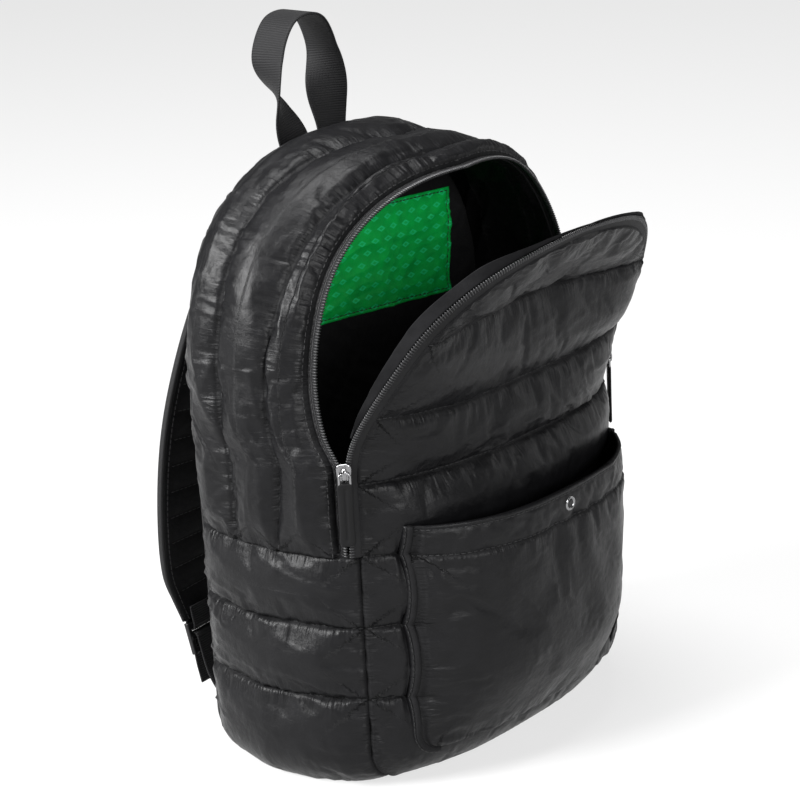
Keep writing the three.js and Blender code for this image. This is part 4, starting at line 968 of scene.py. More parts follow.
def make_front(line):
    v, x = front_grid(line)
    sheet = front_sheet(x, v, WALL + GAP + front_puff(x, v))
    towards = np.array([0.0, -1.0, -0.4])
    lines = front_lines()[1:-1]
    edge = seam_half(v) - np.abs(x)
    pinned = (np.abs(v[..., None] - lines).min(-1) < 0.1 * MM) | (edge < 1 * MM)
    pinned[:2] = pinned[-2:] = True
    outer = sheet + facing(sheet, towards) * front_relief(x, v)[..., None]
    outer = settled(outer, towards, pinned, 9.0, 0.016, 4 * MM)
    inner = front_sheet(x, v, GAP)
    room = fade(seam_half(v) - np.abs(x), 2 * MM, 20 * MM)
    inner = inner - facing(inner, towards) * (1.8 * MM * creases(x, v, 160, 16 * MM, 60 * MM, 0.6) * room)[..., None]
    uv = np.stack([x, v], -1) / MM
    seam = nearest_seam(*((x + 0.3 * k, v - k) for k in lines), (v, edge))
    piece = build("front_quilt", [wall_part(outer, inner, uv, 1, seam)], [finish_of("shell_satin"), finish_of("lining_nylon")])
    normals = facing(outer, towards)
    rows = [int(np.abs(v[:, 0] - k).argmin()) for k in front_lines()[1:-1]]
    hidden = [k for k in rows if v[k, 0] < bpy.context.scene.bag_sizes.pocket_top]
    parts = [stitch_row(outer[k], normals[k]) for k in rows if k not in hidden]
    for k in hidden:
        out = np.abs(x[k]) > bpy.context.scene.bag_sizes.pocket_half + 1 * MM
        for side in (x[k] < 0, x[k] > 0):
            parts.append(stitch_row(outer[k][out & side], normals[k][out & side]))
    stitches = build("front_stitches", parts, [finish_of("thread")])
    return piece, stitches


def side_relief(along, across, width, lines, seed):
    """The same for the sides: along is the distance round the bag, across that from the front edge."""
    size = bpy.context.scene.bag_sizes
    height = 0.9 * size.pucker * gathers(along, across, seed, 7 * MM, 12 * MM)
    height += 0.8 * size.pucker * gathers(along, width - across, seed + 5, 8 * MM, 14 * MM)
    for k, at in enumerate(lines):
        d = across - at
        height += size.pucker * np.where(d < 0, 0.8, 1.0) * gathers(along, d, seed + 20 + 9 * k)
        height += 1.3 * MM * groove(d)
    height += 1.3 * size.crease * creases(along, across, seed + 60, 15 * MM, 130 * MM)
    return height * fade(across, 0, 1.5 * MM) * fade(width - across, 0, 1.5 * MM)


def upper_lines(line, s):
    crown = line.crown(s)
    return through(STITCH_FRONT, crown), through(STITCH_BACK, crown)


def make_upper(line):
    size = bpy.context.scene.bag_sizes
    s = (line.start + GAP / 2 + (line.span - GAP) * np.linspace(0, 1, 421))[:, None]
    first, second = upper_lines(line, s)
    near = np.array([0, 0.05])
    parts = [np.concatenate([k + near, k + np.linspace(0.1, 0.9, n), k + 1 - near[1:]]) for k, n in ((0, 17), (1, 18), (2, 23))]
    c = np.concatenate([*parts, [3.0]])[None]
    k = np.minimum(np.floor(c), 2)
    low = np.select([k == 0, k == 1], [0 * first, first], second)
    high = np.select([k == 0, k == 1], [first, second], 0 * first + 1)
    t = low + (high - low) * (c - k)
    front_y = teeth_y(line, s) + size.tape_width
    width = size.body_depth / 2 - front_y
    to_seam = np.minimum(s - line.start, line.start + line.span - s)
    puff = size.side_puff * puffed(c - k) * fade(to_seam, 0, 20 * MM)
    start = teeth_offset() + WALL / 2
    sheet = side_sheet(line, s, t, front_y, start, puff)
    x, z, nx, nz = line.at(s)
    towards = np.stack(np.broadcast_arrays(nx, 0 * nx, nz), -1)
    along, across = np.broadcast_arrays(s, t * width)
    height = side_relief(along, across, width, (first * width, second * width), 200)
    height += 0.8 * size.pucker * gathers(across, to_seam + 0 * across, 260, 8 * MM, 16 * MM) * fade(to_seam, 0, 2 * MM)
    outer = sheet + facing(sheet, towards) * height[..., None]
    stitched = np.abs(c - np.round(c)) < 1e-6
    pinned = np.broadcast_to(stitched, across.shape) | (to_seam < 1 * MM)
    outer = settled(outer, towards, pinned, 8.0, 0.018, 4 * MM)
    inner = side_sheet(line, s, t, front_y, start, -WALL)
    dents = creases(along, across, 280, 18 * MM, 70 * MM, 0.5) * fade(across, 0, 8 * MM) * fade(width - across, 0, 24 * MM)
    inner = inner - facing(inner, towards) * (2.2 * MM * dents * fade(to_seam, 0, 20 * MM))[..., None]
    uv = np.stack([across, along], -1) / MM
    rims = (along, across), (along + 1, width - across), (across, to_seam)
    seam = nearest_seam(*rims, (along + 2, across - first * width), (along + 3, across - second * width))
    piece = build("upper_quilt", [wall_part(outer, inner, uv, 1, seam)], [finish_of("shell_satin"), finish_of("lining_nylon")])
    normals = facing(outer, towards)
    columns = [int(np.abs(c[0] - k).argmin()) for k in (1, 2)]
    parts = [stitch_row(outer[:, k], normals[:, k]) for k in columns]
    near_edge = int(np.abs(t[0] - 2.6 * MM / width[0]).argmin())
    parts.append(stitch_row(outer[:, near_edge], normals[:, near_edge]))
    return piece, build("upper_stitches", parts, [finish_of("thread")])


def make_lower(line):
    size = bpy.context.scene.bag_sizes
    top = line.left(size.side_seam_z) - GAP / 2
    marks = [line.left(k) for k in LOWER_LINES]
    s = snapped(np.linspace(-top, top, 300), [-marks[0], -marks[1], marks[1], marks[0]])[:, None]
    x, z, nx, nz = line.at(s)
    corner = size.base_z + size.base_corner
    t = np.linspace(0, 1, 73)
    t = (0.6 * t + 0.4 * (1 - np.cos(np.pi * t)) / 2)[None]
    under = 1 - fade(z, size.base_z, corner)
    front_y = -size.body_depth / 2 - under * front_bulge(x, size.base_z)
    width = size.body_depth / 2 - front_y
    knots = np.array([size.base_z, LOWER_LINES[1], LOWER_LINES[0], size.side_seam_z])
    i = np.clip(np.searchsorted(knots, z, side="right"), 1, 3)
    part = (z - knots[i - 1]) / (knots[i] - knots[i - 1])
    puff = np.abs(nx) * size.side_puff * puffed(part) * fade(np.minimum(t, 1 - t), 0, 0.14)
    sheet = side_sheet(line, s, t, front_y, 0.0, puff)
    towards = np.stack(np.broadcast_arrays(nx, 0 * nx, nz), -1)
    across, height_z = np.broadcast_arrays(t * width, z + 0 * t)
    relief = np.zeros_like(across)
    for k, at in enumerate(LOWER_LINES):
        d = height_z - at
        relief += size.pucker * np.where(d < 0, 1.0, 0.7) * gathers(across + np.sign(x) * 0.3, d, 310 + 9 * k)
        relief += 1.3 * MM * groove(d)
    relief += size.pucker * gathers(height_z + 0.5 * np.sign(x), across, 340, 8 * MM, 13 * MM)
    relief += size.pucker * gathers(height_z - 0.5 * np.sign(x), width - across, 345, 8 * MM, 13 * MM)
    relief += size.pucker * gathers(across, size.side_seam_z - height_z, 350, 8 * MM, 18 * MM)
    relief += 1.1 * size.crease * creases(across, height_z + 0.3 * np.sign(x), 360, 15 * MM, 60 * MM, 0.2)
    relief *= np.abs(nx) * fade(across, 0, 1.5 * MM) * fade(width - across, 0, 1.5 * MM)
    outer = sheet + facing(sheet, towards) * relief[..., None]
    stitched = np.abs(np.abs(s) - np.array(marks)).min(-1, keepdims=True) < 0.1 * MM
    pinned = np.broadcast_to(stitched | (np.abs(nx) < 0.6) | (np.abs(s) > top - 1 * MM), across.shape).copy()
    pinned[:, :2] = pinned[:, -2:] = True
    outer = settled(outer, towards, pinned, 8.0, 0.018, 4 * MM)
    outer[..., 2] = np.maximum(outer[..., 2], 0)
    inner = side_sheet(line, s, t, front_y, 0.0, -WALL)
    uv = np.stack(np.broadcast_arrays(across, s), -1) / MM
    rims = (height_z, across), (height_z + 1, width - across), (across, size.side_seam_z - height_z)
    seam = nearest_seam(*rims, *((across + k + np.sign(x), height_z - k) for k in LOWER_LINES))
    piece = build("lower_quilt", [wall_part(outer, inner, uv, 1, seam)], [finish_of("shell_satin"), finish_of("lining_nylon")])
    normals = facing(outer, towards)
    rows = [int(np.abs(s[:, 0] - k).argmin()) for k in (*marks, *(-m for m in marks))]
    parts = [stitch_row(outer[k], normals[k]) for k in rows]
    return piece, build("lower_stitches", parts, [finish_of("thread")])


def make_side_fold(line, sign):
    """The folded seam between the upper and the lower side: a flat band over the seam, with a row of
    stitches, which follows the side's own bow from front to back."""
    size = bpy.context.scene.bag_sizes
    t = np.linspace(0.02, 0.985, 80)
    s = line.start if sign < 0 else line.total - line.start
    front_y = -size.body_depth / 2
    path = side_sheet(line, np.full_like(t, s), t, front_y, 0.0, 0.9 * MM)
    bend = unit(np.cross(tangents(path), np.array([0.0, 0, 1])))
    bend *= np.where((bend * np.array([sign, 0, 0])).sum(-1, keepdims=True) < 0, -1, 1)
    up = np.broadcast_to(np.array([0.0, 0, 1]), path.shape)
    band = bar_part(path, up, bend, flat_ring(5.5 * MM, 1.5 * MM, 8))
    rows = [stitch_row(path + up * k + bend * 0.75 * MM, bend) for k in (-1.7 * MM, 1.7 * MM)]
    return band, rows


# Zip

def body_zip(line, s, share_):
    size = bpy.context.scene.bag_sizes
    x, z, nx, nz = line.at(s)
    offset = teeth_offset()
    y = teeth_y(line, s) + size.tape_width * (1 - share_)
    return np.stack([x + nx * offset, y, z + nz * offset], -1)


def flap_frame(line, s):
    x, z, nx, nz = line.at(s)
    lean = spine(z)[2]
    up = np.stack([0 * x, -np.sin(lean), np.cos(lean)], -1)
    back = np.stack([0 * x, np.cos(lean), np.sin(lean)], -1)
    outward = np.stack([nx, 0 * x, 0 * x], -1) + up * nz[:, None]
    return front_sheet(x, z, GAP + WALL / 2), outward, back


def flap_zip(line, s, share_):
    size = bpy.context.scene.bag_sizes
    edge, outward, back = flap_frame(line, s)
    reach = size.tape_width * share_
    return edge + outward * reach * math.cos(ZIP_TURN) + back * reach * math.sin(ZIP_TURN)


def make_zip_half(name, line, point, flip):
    """Half a coil zip: a tape with a stitched ladder, and close turns of the coil along its edge."""
    size = bpy.context.scene.bag_sizes
    s = line.start + GAP / 2 + (line.span - GAP) * np.linspace(0, 1, 421)
    a, b = point(line, s, 0.0), point(line, s, 1.0)
    across = unit(b - a)
    run = tangents((a + b) / 2)
    out = unit(np.cross(across, run)) * flip
    reach = np.linalg.norm(b - a, axis=1).mean()
    first, last = -0.8 * MM, reach - 0.9 * MM
    tape = bar_part(a + across * (first + last) / 2, across, out, flat_ring(last - first, 1.0 * MM, 8))
    tape_piece = build(f"{name}_tape", [tape], [finish_of("zip_tape")])
    middle = a + across * (reach - size.teeth_width / 2)
    at, length_ = stations(middle, 1.95 * MM)
    place, x, y = pick(middle, length_, at), unit(pick(across, length_, at)), unit(pick(run, length_, at))
    z = np.cross(x, y)
    turn = bead(size.teeth_width * 0.98, 1.15 * MM, size.teeth_thickness * 0.98)
    coil = copies(turn, place, -y, x, z)
    teeth = build(f"{name}_teeth", [coil], [finish_of("zip_teeth")])
    ladder = a + across * (reach - size.teeth_width - 0.5 * MM) + out * 0.5 * MM
    rungs = [stitch_row(ladder, out, 0.0, 2.1 * MM)]
    seam = a + across * 1.8 * MM + out * 0.5 * MM
    rungs.append(stitch_row(seam, out))
    stitches = build(f"{name}_ladder", rungs, [finish_of("thread")])
    return tape_piece, teeth, stitches


def make_facing_band(line):
    """The band of lining behind the flap's zip: it leans back from the teeth, fades out at the slider
    and has a wavy free edge."""
    size = bpy.context.scene.bag_sizes
    lift = 13 * MM
    low = (line.left(size.slider_z + lift) - line.start) / line.span
    first = math.ceil(low * 44) / 44
    share_ = np.linspace(0, 1, 321)
    s = line.start + GAP / 2 + (line.span - GAP) * (first + (1 - 2 * first) * share_)
    edge, outward, back = flap_frame(line, s)
    depth = 8 * MM * through(FACING, 1 - np.abs(2 * share_ - 1)) * (1 - 0.8 * fade(share_, 0.42, 0.62))
    c = np.linspace(0, 1, 15)[None]
    along = s[:, None]
    wave = (ripple(along, 23 * MM, 401) - 0.5) * 3.2 * MM + (ripple(along, 9 * MM, 402) - 0.5) * 1.2 * MM
    fold = 1.4 * MM * (ripple(along + 8 * MM * c, 12 * MM, 403) - 0.5) * c

    def side(thick):
        away = teeth_offset() - size.teeth_width + thick
        start = (size.teeth_thickness / 2 + 1.5 * GAP + away * math.sin(ZIP_TURN)) / math.cos(ZIP_TURN)
        out = away + (2 * MM + np.minimum(wave, 0.6 * MM)) * c + fold
        reach = start + depth[:, None] * c * (1 + 0.05 * np.sin(along / (9 * MM)))
        return edge[:, None] + outward[:, None] * out[..., None] + back[:, None] * reach[..., None]

    outer, inner = side(2.4 * MM), side(1.2 * MM)
    uv = np.stack(np.broadcast_arrays(depth[:, None] * c, along), -1) / MM
    return build("lining_band", [wall_part(outer, inner, uv)], [finish_of("facing_nylon")])


# Back and lining

def pad_stations(line, inset, floor, top_fade=0.5 * MM):
    """Heights and half widths of a pad that fills the back seam, inset from it all round."""
    size = bpy.context.scene.bag_sizes
    s = np.linspace(0, line.total / 2, 500)
    x, z, nx, nz = line.at(s)
    offset = side_offset(line, s, 1.0, 0.0) - inset
    px, pz = -(x + nx * offset), np.maximum(z + nz * offset, floor)
    right = line.total - s
    x, z, nx, nz = line.at(right)
    offset = side_offset(line, right, 1.0, 0.0) - inset
    qx, qz = x + nx * offset, np.maximum(z + nz * offset, floor)
    order = np.argsort(pz + 1e-9 * np.arange(len(pz)))
    run = np.concatenate([[0], np.cumsum(np.hypot(np.diff(px), np.diff(pz)))])
    rows = np.interp(np.arange(0, run[-1], 2.2 * MM), run, pz)
    rows = np.unique(np.round(rows, 6))
    rows = rows[np.concatenate([[True], np.diff(rows) > 0.2 * MM])]
    left = np.interp(rows, pz[order], px[order])
    other = np.argsort(qz + 1e-9 * np.arange(len(qz)))
    return rows, -left, np.interp(rows, qz[other], qx[other])


def pad_walls(line, inset, floor, columns):
    rows, left, right = pad_stations(line, inset, floor)
    share_ = np.linspace(-1, 1, columns)
    spread = 0.5 * share_ + 0.5 * np.sin(np.pi / 2 * share_)
    x = (left + right)[:, None] / 2 + (right - left)[:, None] / 2 * spread[None]
    z = np.broadcast_to(rows[:, None], x.shape)
    edge = np.minimum(np.minimum(x - left[:, None], right[:, None] - x), np.minimum(z - rows[0], rows[-1] - z))
    return x, z, np.maximum(edge, 0)


def rounded(edge, radius):
    """How far a pad's face falls back towards its edge: a quarter circle."""
    return radius * (1 - np.sqrt(np.maximum(1 - (1 - np.clip(edge / radius, 0, 1)) ** 2, 0)))


def make_back(line):
    size = bpy.context.scene.bag_sizes
    x, z, edge = pad_walls(line, WALL + 3 * GAP, WALL + GAP, 120)
    face = size.body_depth / 2 + 4 * MM
    channels = np.minimum(np.abs(np.abs(x) - 40 * MM), np.abs(edge - 20 * MM))
    across = np.minimum.reduce([np.abs(z - k) for k in (0.09, 0.17, 0.25, 0.33)]) + np.maximum(np.abs(x) - 40 * MM, 0)
    dent = 2.2 * MM * np.exp(-((channels / (3 * MM)) ** 2)) + 1.8 * MM * np.exp(-((across / (3 * MM)) ** 2))
    y_out = face - rounded(edge, 4 * MM) - dent * fade(edge, 6 * MM, 16 * MM)
    y_in = face - 15 * MM + rounded(edge, 3 * MM)
    uv = np.stack([x, z], -1) / MM
    pad = build("back_pad", [wall_part(np.stack([x, y_out, z], -1), np.stack([x, y_in, z], -1), uv)], [finish_of("back_mesh")])
    s = np.linspace(0, line.total, 520, endpoint=False)
    bx, bz, nx, nz = line.at(s)
    offset = side_offset(line, s, 1.0, 0.0) - 1.5 * MM
    centre = np.stack([bx + nx * offset, np.full_like(s, size.body_depth / 2 + 1.2 * MM), np.maximum(bz + nz * offset, 2.2 * MM)], -1)
    radial = np.stack([nx, 0 * nx, nz], -1)
    rear = np.broadcast_to(np.array([0.0, 1, 0]), centre.shape)
    ring = flat_ring(6.4 * MM, 3.6 * MM, 7)[:, ::-1]
    binding = build("back_binding", [bar_part(centre, radial, rear, ring, closed=True)], [finish_of("binding")])
    return pad, binding


def lining_depth(x, z):
    """How far the lining's creases stand out of its face, flat behind the patch."""
    calm = fade(np.abs(x), 0.088, 0.112) + fade(np.abs(z - 0.331), 0.03, 0.055)
    folds = 3.2 * MM * creases(x, z, 520, 20 * MM, 90 * MM, 0.9) + 1.6 * MM * creases(x, z, 540, 9 * MM, 40 * MM, -0.5)
    return folds * (0.22 + 0.78 * np.clip(calm, 0, 1))


LINING_FACE = 0.0387


def make_lining(line):
    x, z, edge = pad_walls(line, 2 * WALL + 3 * GAP, WALL + GAP, 110)
    y_out = LINING_FACE + rounded(edge, 9 * MM) - lining_depth(x, z) * fade(edge, 0, 16 * MM)
    y_in = LINING_FACE + 17.7 * MM - rounded(edge, 3 * MM)
    uv = np.stack([x, z], -1) / MM
    return build("lining_pad", [wall_part(np.stack([x, y_out, z], -1), np.stack([x, y_in, z], -1), uv)], [finish_of("lining_nylon")])


def make_patch():
    """A flat strip of printed lining, sewn over the padded lining, turned a little about its middle,
    with turned-in edges and slack folds between its stitches."""
    half, low, high = 0.1, 0.292, 0.370
    u, w = np.meshgrid(np.linspace(-half, half, 150), np.linspace(-(high - low) / 2, (high - low) / 2, 64), indexing="ij")
    tilt = math.radians(4)
    x = u * math.cos(tilt) + w * math.sin(tilt)
    z = (low + high) / 2 - u * math.sin(tilt) + w * math.cos(tilt)
    edge = np.minimum(half - np.abs(u), (high - low) / 2 - np.abs(w))
    slack = 1.5 * MM * creases(u, w, 560, 12 * MM, 55 * MM, 0.15) + 0.7 * MM * gathers(u, (high - low) / 2 - w, 570, 9 * MM, 16 * MM)
    slack += 0.7 * MM * gathers(u, (high - low) / 2 + w, 575, 9 * MM, 16 * MM)
    base = LINING_FACE - lining_depth(x, z)
    y_out = base - 1.0 * MM - slack * fade(edge, 0, 9 * MM) + 0.5 * MM * np.exp(-((edge - 2.5 * MM) / (1 * MM)) ** 2)
    y_in = base - 0.25 * MM
    outer, inner = np.stack([x, y_out, z], -1), np.stack([x, y_in, z], -1)
    patch = build("green_patch", [wall_part(outer, inner, np.stack([u, w], -1) / MM)], [finish_of("printed_lining")])
    towards = np.array([0.0, -1, 0])
    normals = facing(outer, towards)
    i, j = [int(np.abs(np.linspace(-half, half, 150) - k).argmin()) for k in (-half + 2.5 * MM, half - 2.5 * MM)], [2, 61]
    parts = [stitch_row(outer[k, 2:62], normals[k, 2:62]) for k in i] + [stitch_row(outer[2:148, k], normals[2:148, k]) for k in j]
    return patch, build("patch_stitches", parts, [finish_of("thread")])


# Pocket

def pocket_half(z):
    size = bpy.context.scene.bag_sizes
    drop = np.clip(size.pocket_bottom + 16 * MM - z, 0, 16 * MM)
    return size.pocket_half - (16 * MM - np.sqrt(np.maximum((16 * MM) ** 2 - drop ** 2, 0)))


def pocket_stand(x, z):
    """How far the pocket stands in front of the front panel's sheet: sewn down round its edge, with
    more room towards its mouth, and gathers that fall from the hem beside the snap."""
    size = bpy.context.scene.bag_sizes
    half = pocket_half(z)
    across = np.minimum(np.abs(x) / half, 1)
    up = (z - size.pocket_bottom) / (size.pocket_top - size.pocket_bottom)
    room = size.pocket_room * (0.8 + 0.5 * up) * fade(up, 0, 0.35) * (1 - across ** 4)
    sewn = np.minimum(fade(half - np.abs(x), 0, 26 * MM), fade(z - size.pocket_bottom, 0, 26 * MM))
    drop = size.pocket_top - size.hem / 2 - z
    hang = fade(drop, 0, size.hem / 2) * (1 - fade(drop, 0, 62 * MM))
    gather = sum(k[2] * np.exp(-(((x / size.pocket_half - k[0]) / k[1]) ** 2)) for k in GATHERS)
    panel = WALL + GAP + front_puff(x, z)
    smooth = WALL + GAP + size.front_puff
    return panel + (smooth - panel) * sewn + 1.2 * MM + room - size.pocket_room * gather * hang


def pocket_relief(x, z):
    """Small gathers along the bound edges, under the hem and round the snap, and soft folds."""
    size = bpy.context.scene.bag_sizes
    half = pocket_half(z)
    hem = size.pocket_top - size.hem
    edge = half - np.abs(x)
    height = 0.9 * size.pucker * gathers(z + 0.3 * np.sign(x), edge - 6 * MM, 610, 8 * MM, 14 * MM) * fade(edge, 6 * MM, 8 * MM)
    height += 1.1 * size.pucker * gathers(x, z - hem, 620, 9 * MM, 22 * MM) * (z < hem)
    height += 0.8 * size.pucker * gathers(x, z - size.pocket_bottom, 630, 9 * MM, 14 * MM)
    fan = np.exp(-((x / (45 * MM)) ** 2)) * fade(size.pocket_top - 12 * MM - z, 0, 16 * MM) * (1 - fade(hem - z, 10 * MM, 70 * MM))
    height += 1.3 * MM * fan * (1 - np.abs(2 * ripple(x * (1 + 0.25 * (hem - z) / (50 * MM)), 16 * MM, 640) - 1))
    height += 0.9 * size.crease * creases(x, z, 650, 34 * MM, 90 * MM, -0.75, 1.8) * fade(edge, 6 * MM, 24 * MM)
    height += 0.8 * MM * groove(z - hem) + 0.7 * MM * groove(z - size.pocket_top + 3 * MM)
    ends = fade(edge, 0, 3 * MM) * fade(z - size.pocket_bottom, 0, 3 * MM)
    return height * ends


def make_pocket():
    size = bpy.context.scene.bag_sizes
    hem = size.pocket_top - size.hem
    z = snapped(np.linspace(size.pocket_bottom, size.pocket_top, 104), [hem, size.pocket_top - 3 * MM])
    z = np.clip(z, size.pocket_bottom, size.pocket_top)[:, None]
    share_ = np.linspace(-1, 1, 151)
    x = (0.6 * share_ + 0.4 * np.sin(np.pi / 2 * share_))[None] * pocket_half(z)
    z = np.broadcast_to(z, x.shape)
    stand = pocket_stand(x, z)
    towards = np.array([0.0, -1.0, 0.0])
    sheet = front_sheet(x, z, stand + 2.6 * MM)
    outer = sheet + facing(sheet, towards) * pocket_relief(x, z)[..., None]
    edge = pocket_half(z) - np.abs(x)
    pinned = (edge < 5 * MM) | (z < size.pocket_bottom + 2 * MM) | (np.abs(z - hem) < 0.1 * MM)
    pinned |= (z > size.pocket_top - 4 * MM) | (np.hypot(x, z - size.pocket_top + size.hem / 2) < 8 * MM)
    outer = settled(outer, np.broadcast_to(towards, outer.shape), pinned, 2.0, 0.012, 3 * MM)
    sewn = 1 - fade(np.minimum(edge, z - size.pocket_bottom), 0, 5 * MM)
    inner = front_sheet(x, z, stand - 1.5 * MM * sewn)
    uv = np.stack([x, z], -1) / MM
    seam = nearest_seam((z + np.sign(x), edge - 6 * MM), (x, z - size.pocket_bottom), (x + 1, np.maximum(hem - z, 0) + 9 * (z > hem)))
    pocket = build("pocket_quilt", [wall_part(outer, inner, uv, 1, seam)], [finish_of("shell_satin"), finish_of("lining_nylon")])
    normals = facing(outer, towards)
    parts = []
    for at in (hem, size.pocket_top - 3 * MM):
        k = int(np.abs(z[:, 0] - at).argmin())
        parts.append(stitch_row(outer[k, 3:-3], normals[k, 3:-3]))
    rims = []
    for sign in (-1, 1):
        edge = np.concatenate([np.linspace(size.pocket_top, size.pocket_bottom + 16 * MM, 90), size.pocket_bottom + 16 * MM - 16 * MM * np.sin(np.linspace(0.05, 1, 16) * np.pi / 2)])
        across = sign * (pocket_half(edge) - 2.6 * MM)
        centre = front_sheet(across, edge, pocket_stand(across, edge) + 1.5 * MM)
        right = front_sheet(across + 1 * MM, edge, pocket_stand(across + 1 * MM, edge) + 1.5 * MM)
        run = tangents(centre)
        side = unit(right - centre)
        out = unit(np.cross(side, run))
        out = out * np.where(out[:, 1:2] > 0, -1, 1)
        side = np.cross(run, out)
        rims.append(bar_part(centre, side, out, ring_of(4.6 * MM, 4.8 * MM, 2.8, 16)))
        parts.append(stitch_row(centre - side * 3.0 * MM * sign + out * 0.9 * MM, out))
    binding = build("pocket_binding", rims, [finish_of("shell_satin")])
    return pocket, binding, build("pocket_stitches", parts, [finish_of("thread")])


def pocket_frame(x, z, stand):
    """A point in front of the pocket and its directions right, up and out."""
    def at(dx, dz):
        px, pz = np.array([x + dx]), np.array([z + dz])
        return front_sheet(px, pz, pocket_stand(px, pz) + stand)[0]
    reach = 4 * MM
    right = unit(at(reach, 0) - at(-reach, 0))
    up = unit(at(0, reach) - at(0, -reach))
    out = unit(np.cross(right, up))
    return at(0, 0), right, np.cross(out, right), out


def turned(profile, around=48):
    """A profile of (radius, height) turned about the Z axis; it starts and ends on the axis."""
    a = 2 * np.pi * np.arange(around) / around
    r, h = profile[1:-1, 0], profile[1:-1, 1]
    ring = np.stack([r[:, None] * np.cos(a), r[:, None] * np.sin(a), np.broadcast_to(h[:, None], (len(r), around))], -1)
    i, j = np.meshgrid(np.arange(len(r) - 1), np.arange(around), indexing="ij")
    k = (j + 1) % around
    quads = np.stack([i * around + j, i * around + k, (i + 1) * around + k, (i + 1) * around + j], -1)
    points = np.concatenate([ring.reshape(-1, 3), [[0, 0, profile[0, 1]], [0, 0, profile[-1, 1]]]])
    n, j, last = len(r) * around, np.arange(around), (len(r) - 1) * around
    k = (j + 1) % around
    tris = np.concatenate([np.stack([np.full(around, n), k, j], -1), np.stack([np.full(around, n + 1), last + j, last + k], -1)])
    return Part(points, points[:, :2] / MM, quads, tris)


def placed(part, at, x, y, z):
    """The part moved to a point and turned to three directions."""
    p = part.points
    part.points = at + p[:, :1] * x + p[:, 1:2] * y + p[:, 2:] * z
    return part


def make_snap():
    size = bpy.context.scene.bag_sizes
    r = 5.5
    profile = np.array([(0, 0.1), (r - 0.2, 0.1), (r, 0.35), (r + 0.02, 0.8), (r - 0.25, 1.35), (r - 0.8, 1.9), (r - 1.4, 2.0),
                        (r - 2.0, 1.75), (r - 2.4, 1.2), (r - 2.6, 0.95), (r - 3.2, 0.9), (1.4, 0.95), (1.1, 1.2), (0.6, 1.3), (0, 1.32)]) * MM
    at, right, up, out = pocket_frame(0.0, size.pocket_top - size.hem / 2, 2.6 * MM + 0.45 * MM)
    cap = np.array([(0, 0.6), (2.5, 0.6), (2.9, 1.0), (2.6, 1.45), (1.6, 1.6), (0.7, 1.5), (0, 1.46)]) * MM
    ring = build("snap_ring", [placed(turned(profile), at, right, up, out)], [finish_of("plated_metal")])
    return ring, build("snap_cap", [placed(turned(cap), at, right, up, out)], [finish_of("buckle_plastic")])


def make_label():
    size = bpy.context.scene.bag_sizes
    right, low = size.pocket_half - 1 * MM, 0.034
    x, z = np.meshgrid(np.linspace(right - 24 * MM, right, 28), np.linspace(low, low + 26 * MM, 30), indexing="ij")
    stand = pocket_stand(x, z) + 3.5 * MM
    wave = 0.25 * MM * creases(x, z, 700, 8 * MM, 20 * MM)
    outer, inner = front_sheet(x, z, stand + 0.7 * MM + wave), front_sheet(x, z, stand)
    label = build("blank_label", [wall_part(outer, inner, np.stack([x, z], -1) / MM)], [finish_of("label_weave")])
    normals = facing(outer, np.array([0.0, -1, 0]))
    parts = [stitch_row(outer[k, 2:-2], normals[k, 2:-2], 0, 2.6 * MM) for k in (2, -3)]
    parts += [stitch_row(outer[2:-2, k], normals[2:-2, k], 0, 2.6 * MM) for k in (2, -3)]
    return label, build("label_stitches", parts, [finish_of("thread")])


# Carry loop, straps and adjusters

def make_loop():
    """The carry loop: flat webbing along a smooth arch, each leg turned a quarter on its way up."""
    size = bpy.context.scene.bag_sizes
    y = size.body_depth / 2 + 4 * MM + GAP + size.web_thickness / 2
    foot, wide = 19.5 * MM, 29 * MM
    crown = size.top_z + size.back_flare
    table = [(-foot, -0.3), (-foot, -0.12), (-foot, 0.02), (-foot - (wide - foot) * 0.45, 0.3), (-wide, 0.68),
             (-wide * 0.55, 0.95), (0, 1), (wide * 0.55, 0.95), (wide, 0.68), (foot + (wide - foot) * 0.45, 0.3),
             (foot, 0.02), (foot, -0.12), (foot, -0.3)]
    knots = np.array([(a, y + 15 * MM * float(fade(np.array(up + 0.12), 0, 0.8)), crown + size.loop_height * up) for a, up in table])
    path, _ = curve(knots, 1.6 * MM)
    run = tangents(path)
    up = (path[:, 2] - crown) / size.loop_height
    turn = np.radians(90 * (1 - fade(up, 0.05, 0.75)))[:, None]
    side = unit(np.cross(run, np.array([0.0, 1, 0])))
    level = np.cross(side, run)
    across = level * np.cos(turn) - side * np.sin(turn)
    out = unit(np.cross(run, across))
    web = bar_part(path, across, out, flat_ring(size.web_width, size.web_thickness, 16))
    loop = build("carry_web", [web], [finish_of("webbing")])
    parts = []
    for end in (slice(2, 17), slice(-17, -2)):
        for k in (-12 * MM, 12 * MM):
            parts.append(stitch_row(path[end] + across[end] * k + out[end] * size.web_thickness / 2 * np.sign(out[end][:, 1:2]), out[end] * np.sign(out[end][:, 1:2])))
    return loop, build("loop_stitches", parts, [finish_of("thread")])


def strap_line(sign):
    size = bpy.context.scene.bag_sizes
    y = size.body_depth / 2 + 4 * MM + 3 * GAP + size.strap_thickness / 2
    knots = np.stack([sign * STRAP[:, 1] * size.seam_half, y + STRAP[:, 2] * size.strap_reach, STRAP[:, 0] * size.strap_top], -1)
    path, share_ = curve(knots, 1.8 * MM)
    run = tangents(path)
    across = unit(np.array([1.0, 0, 0]) - run * run[:, :1])
    out = np.cross(across, run)
    rising = STRAP[::-1]
    width = size.strap_width * through(rising, path[:, 2] / size.strap_top, 3)
    return path, run, across, out, width


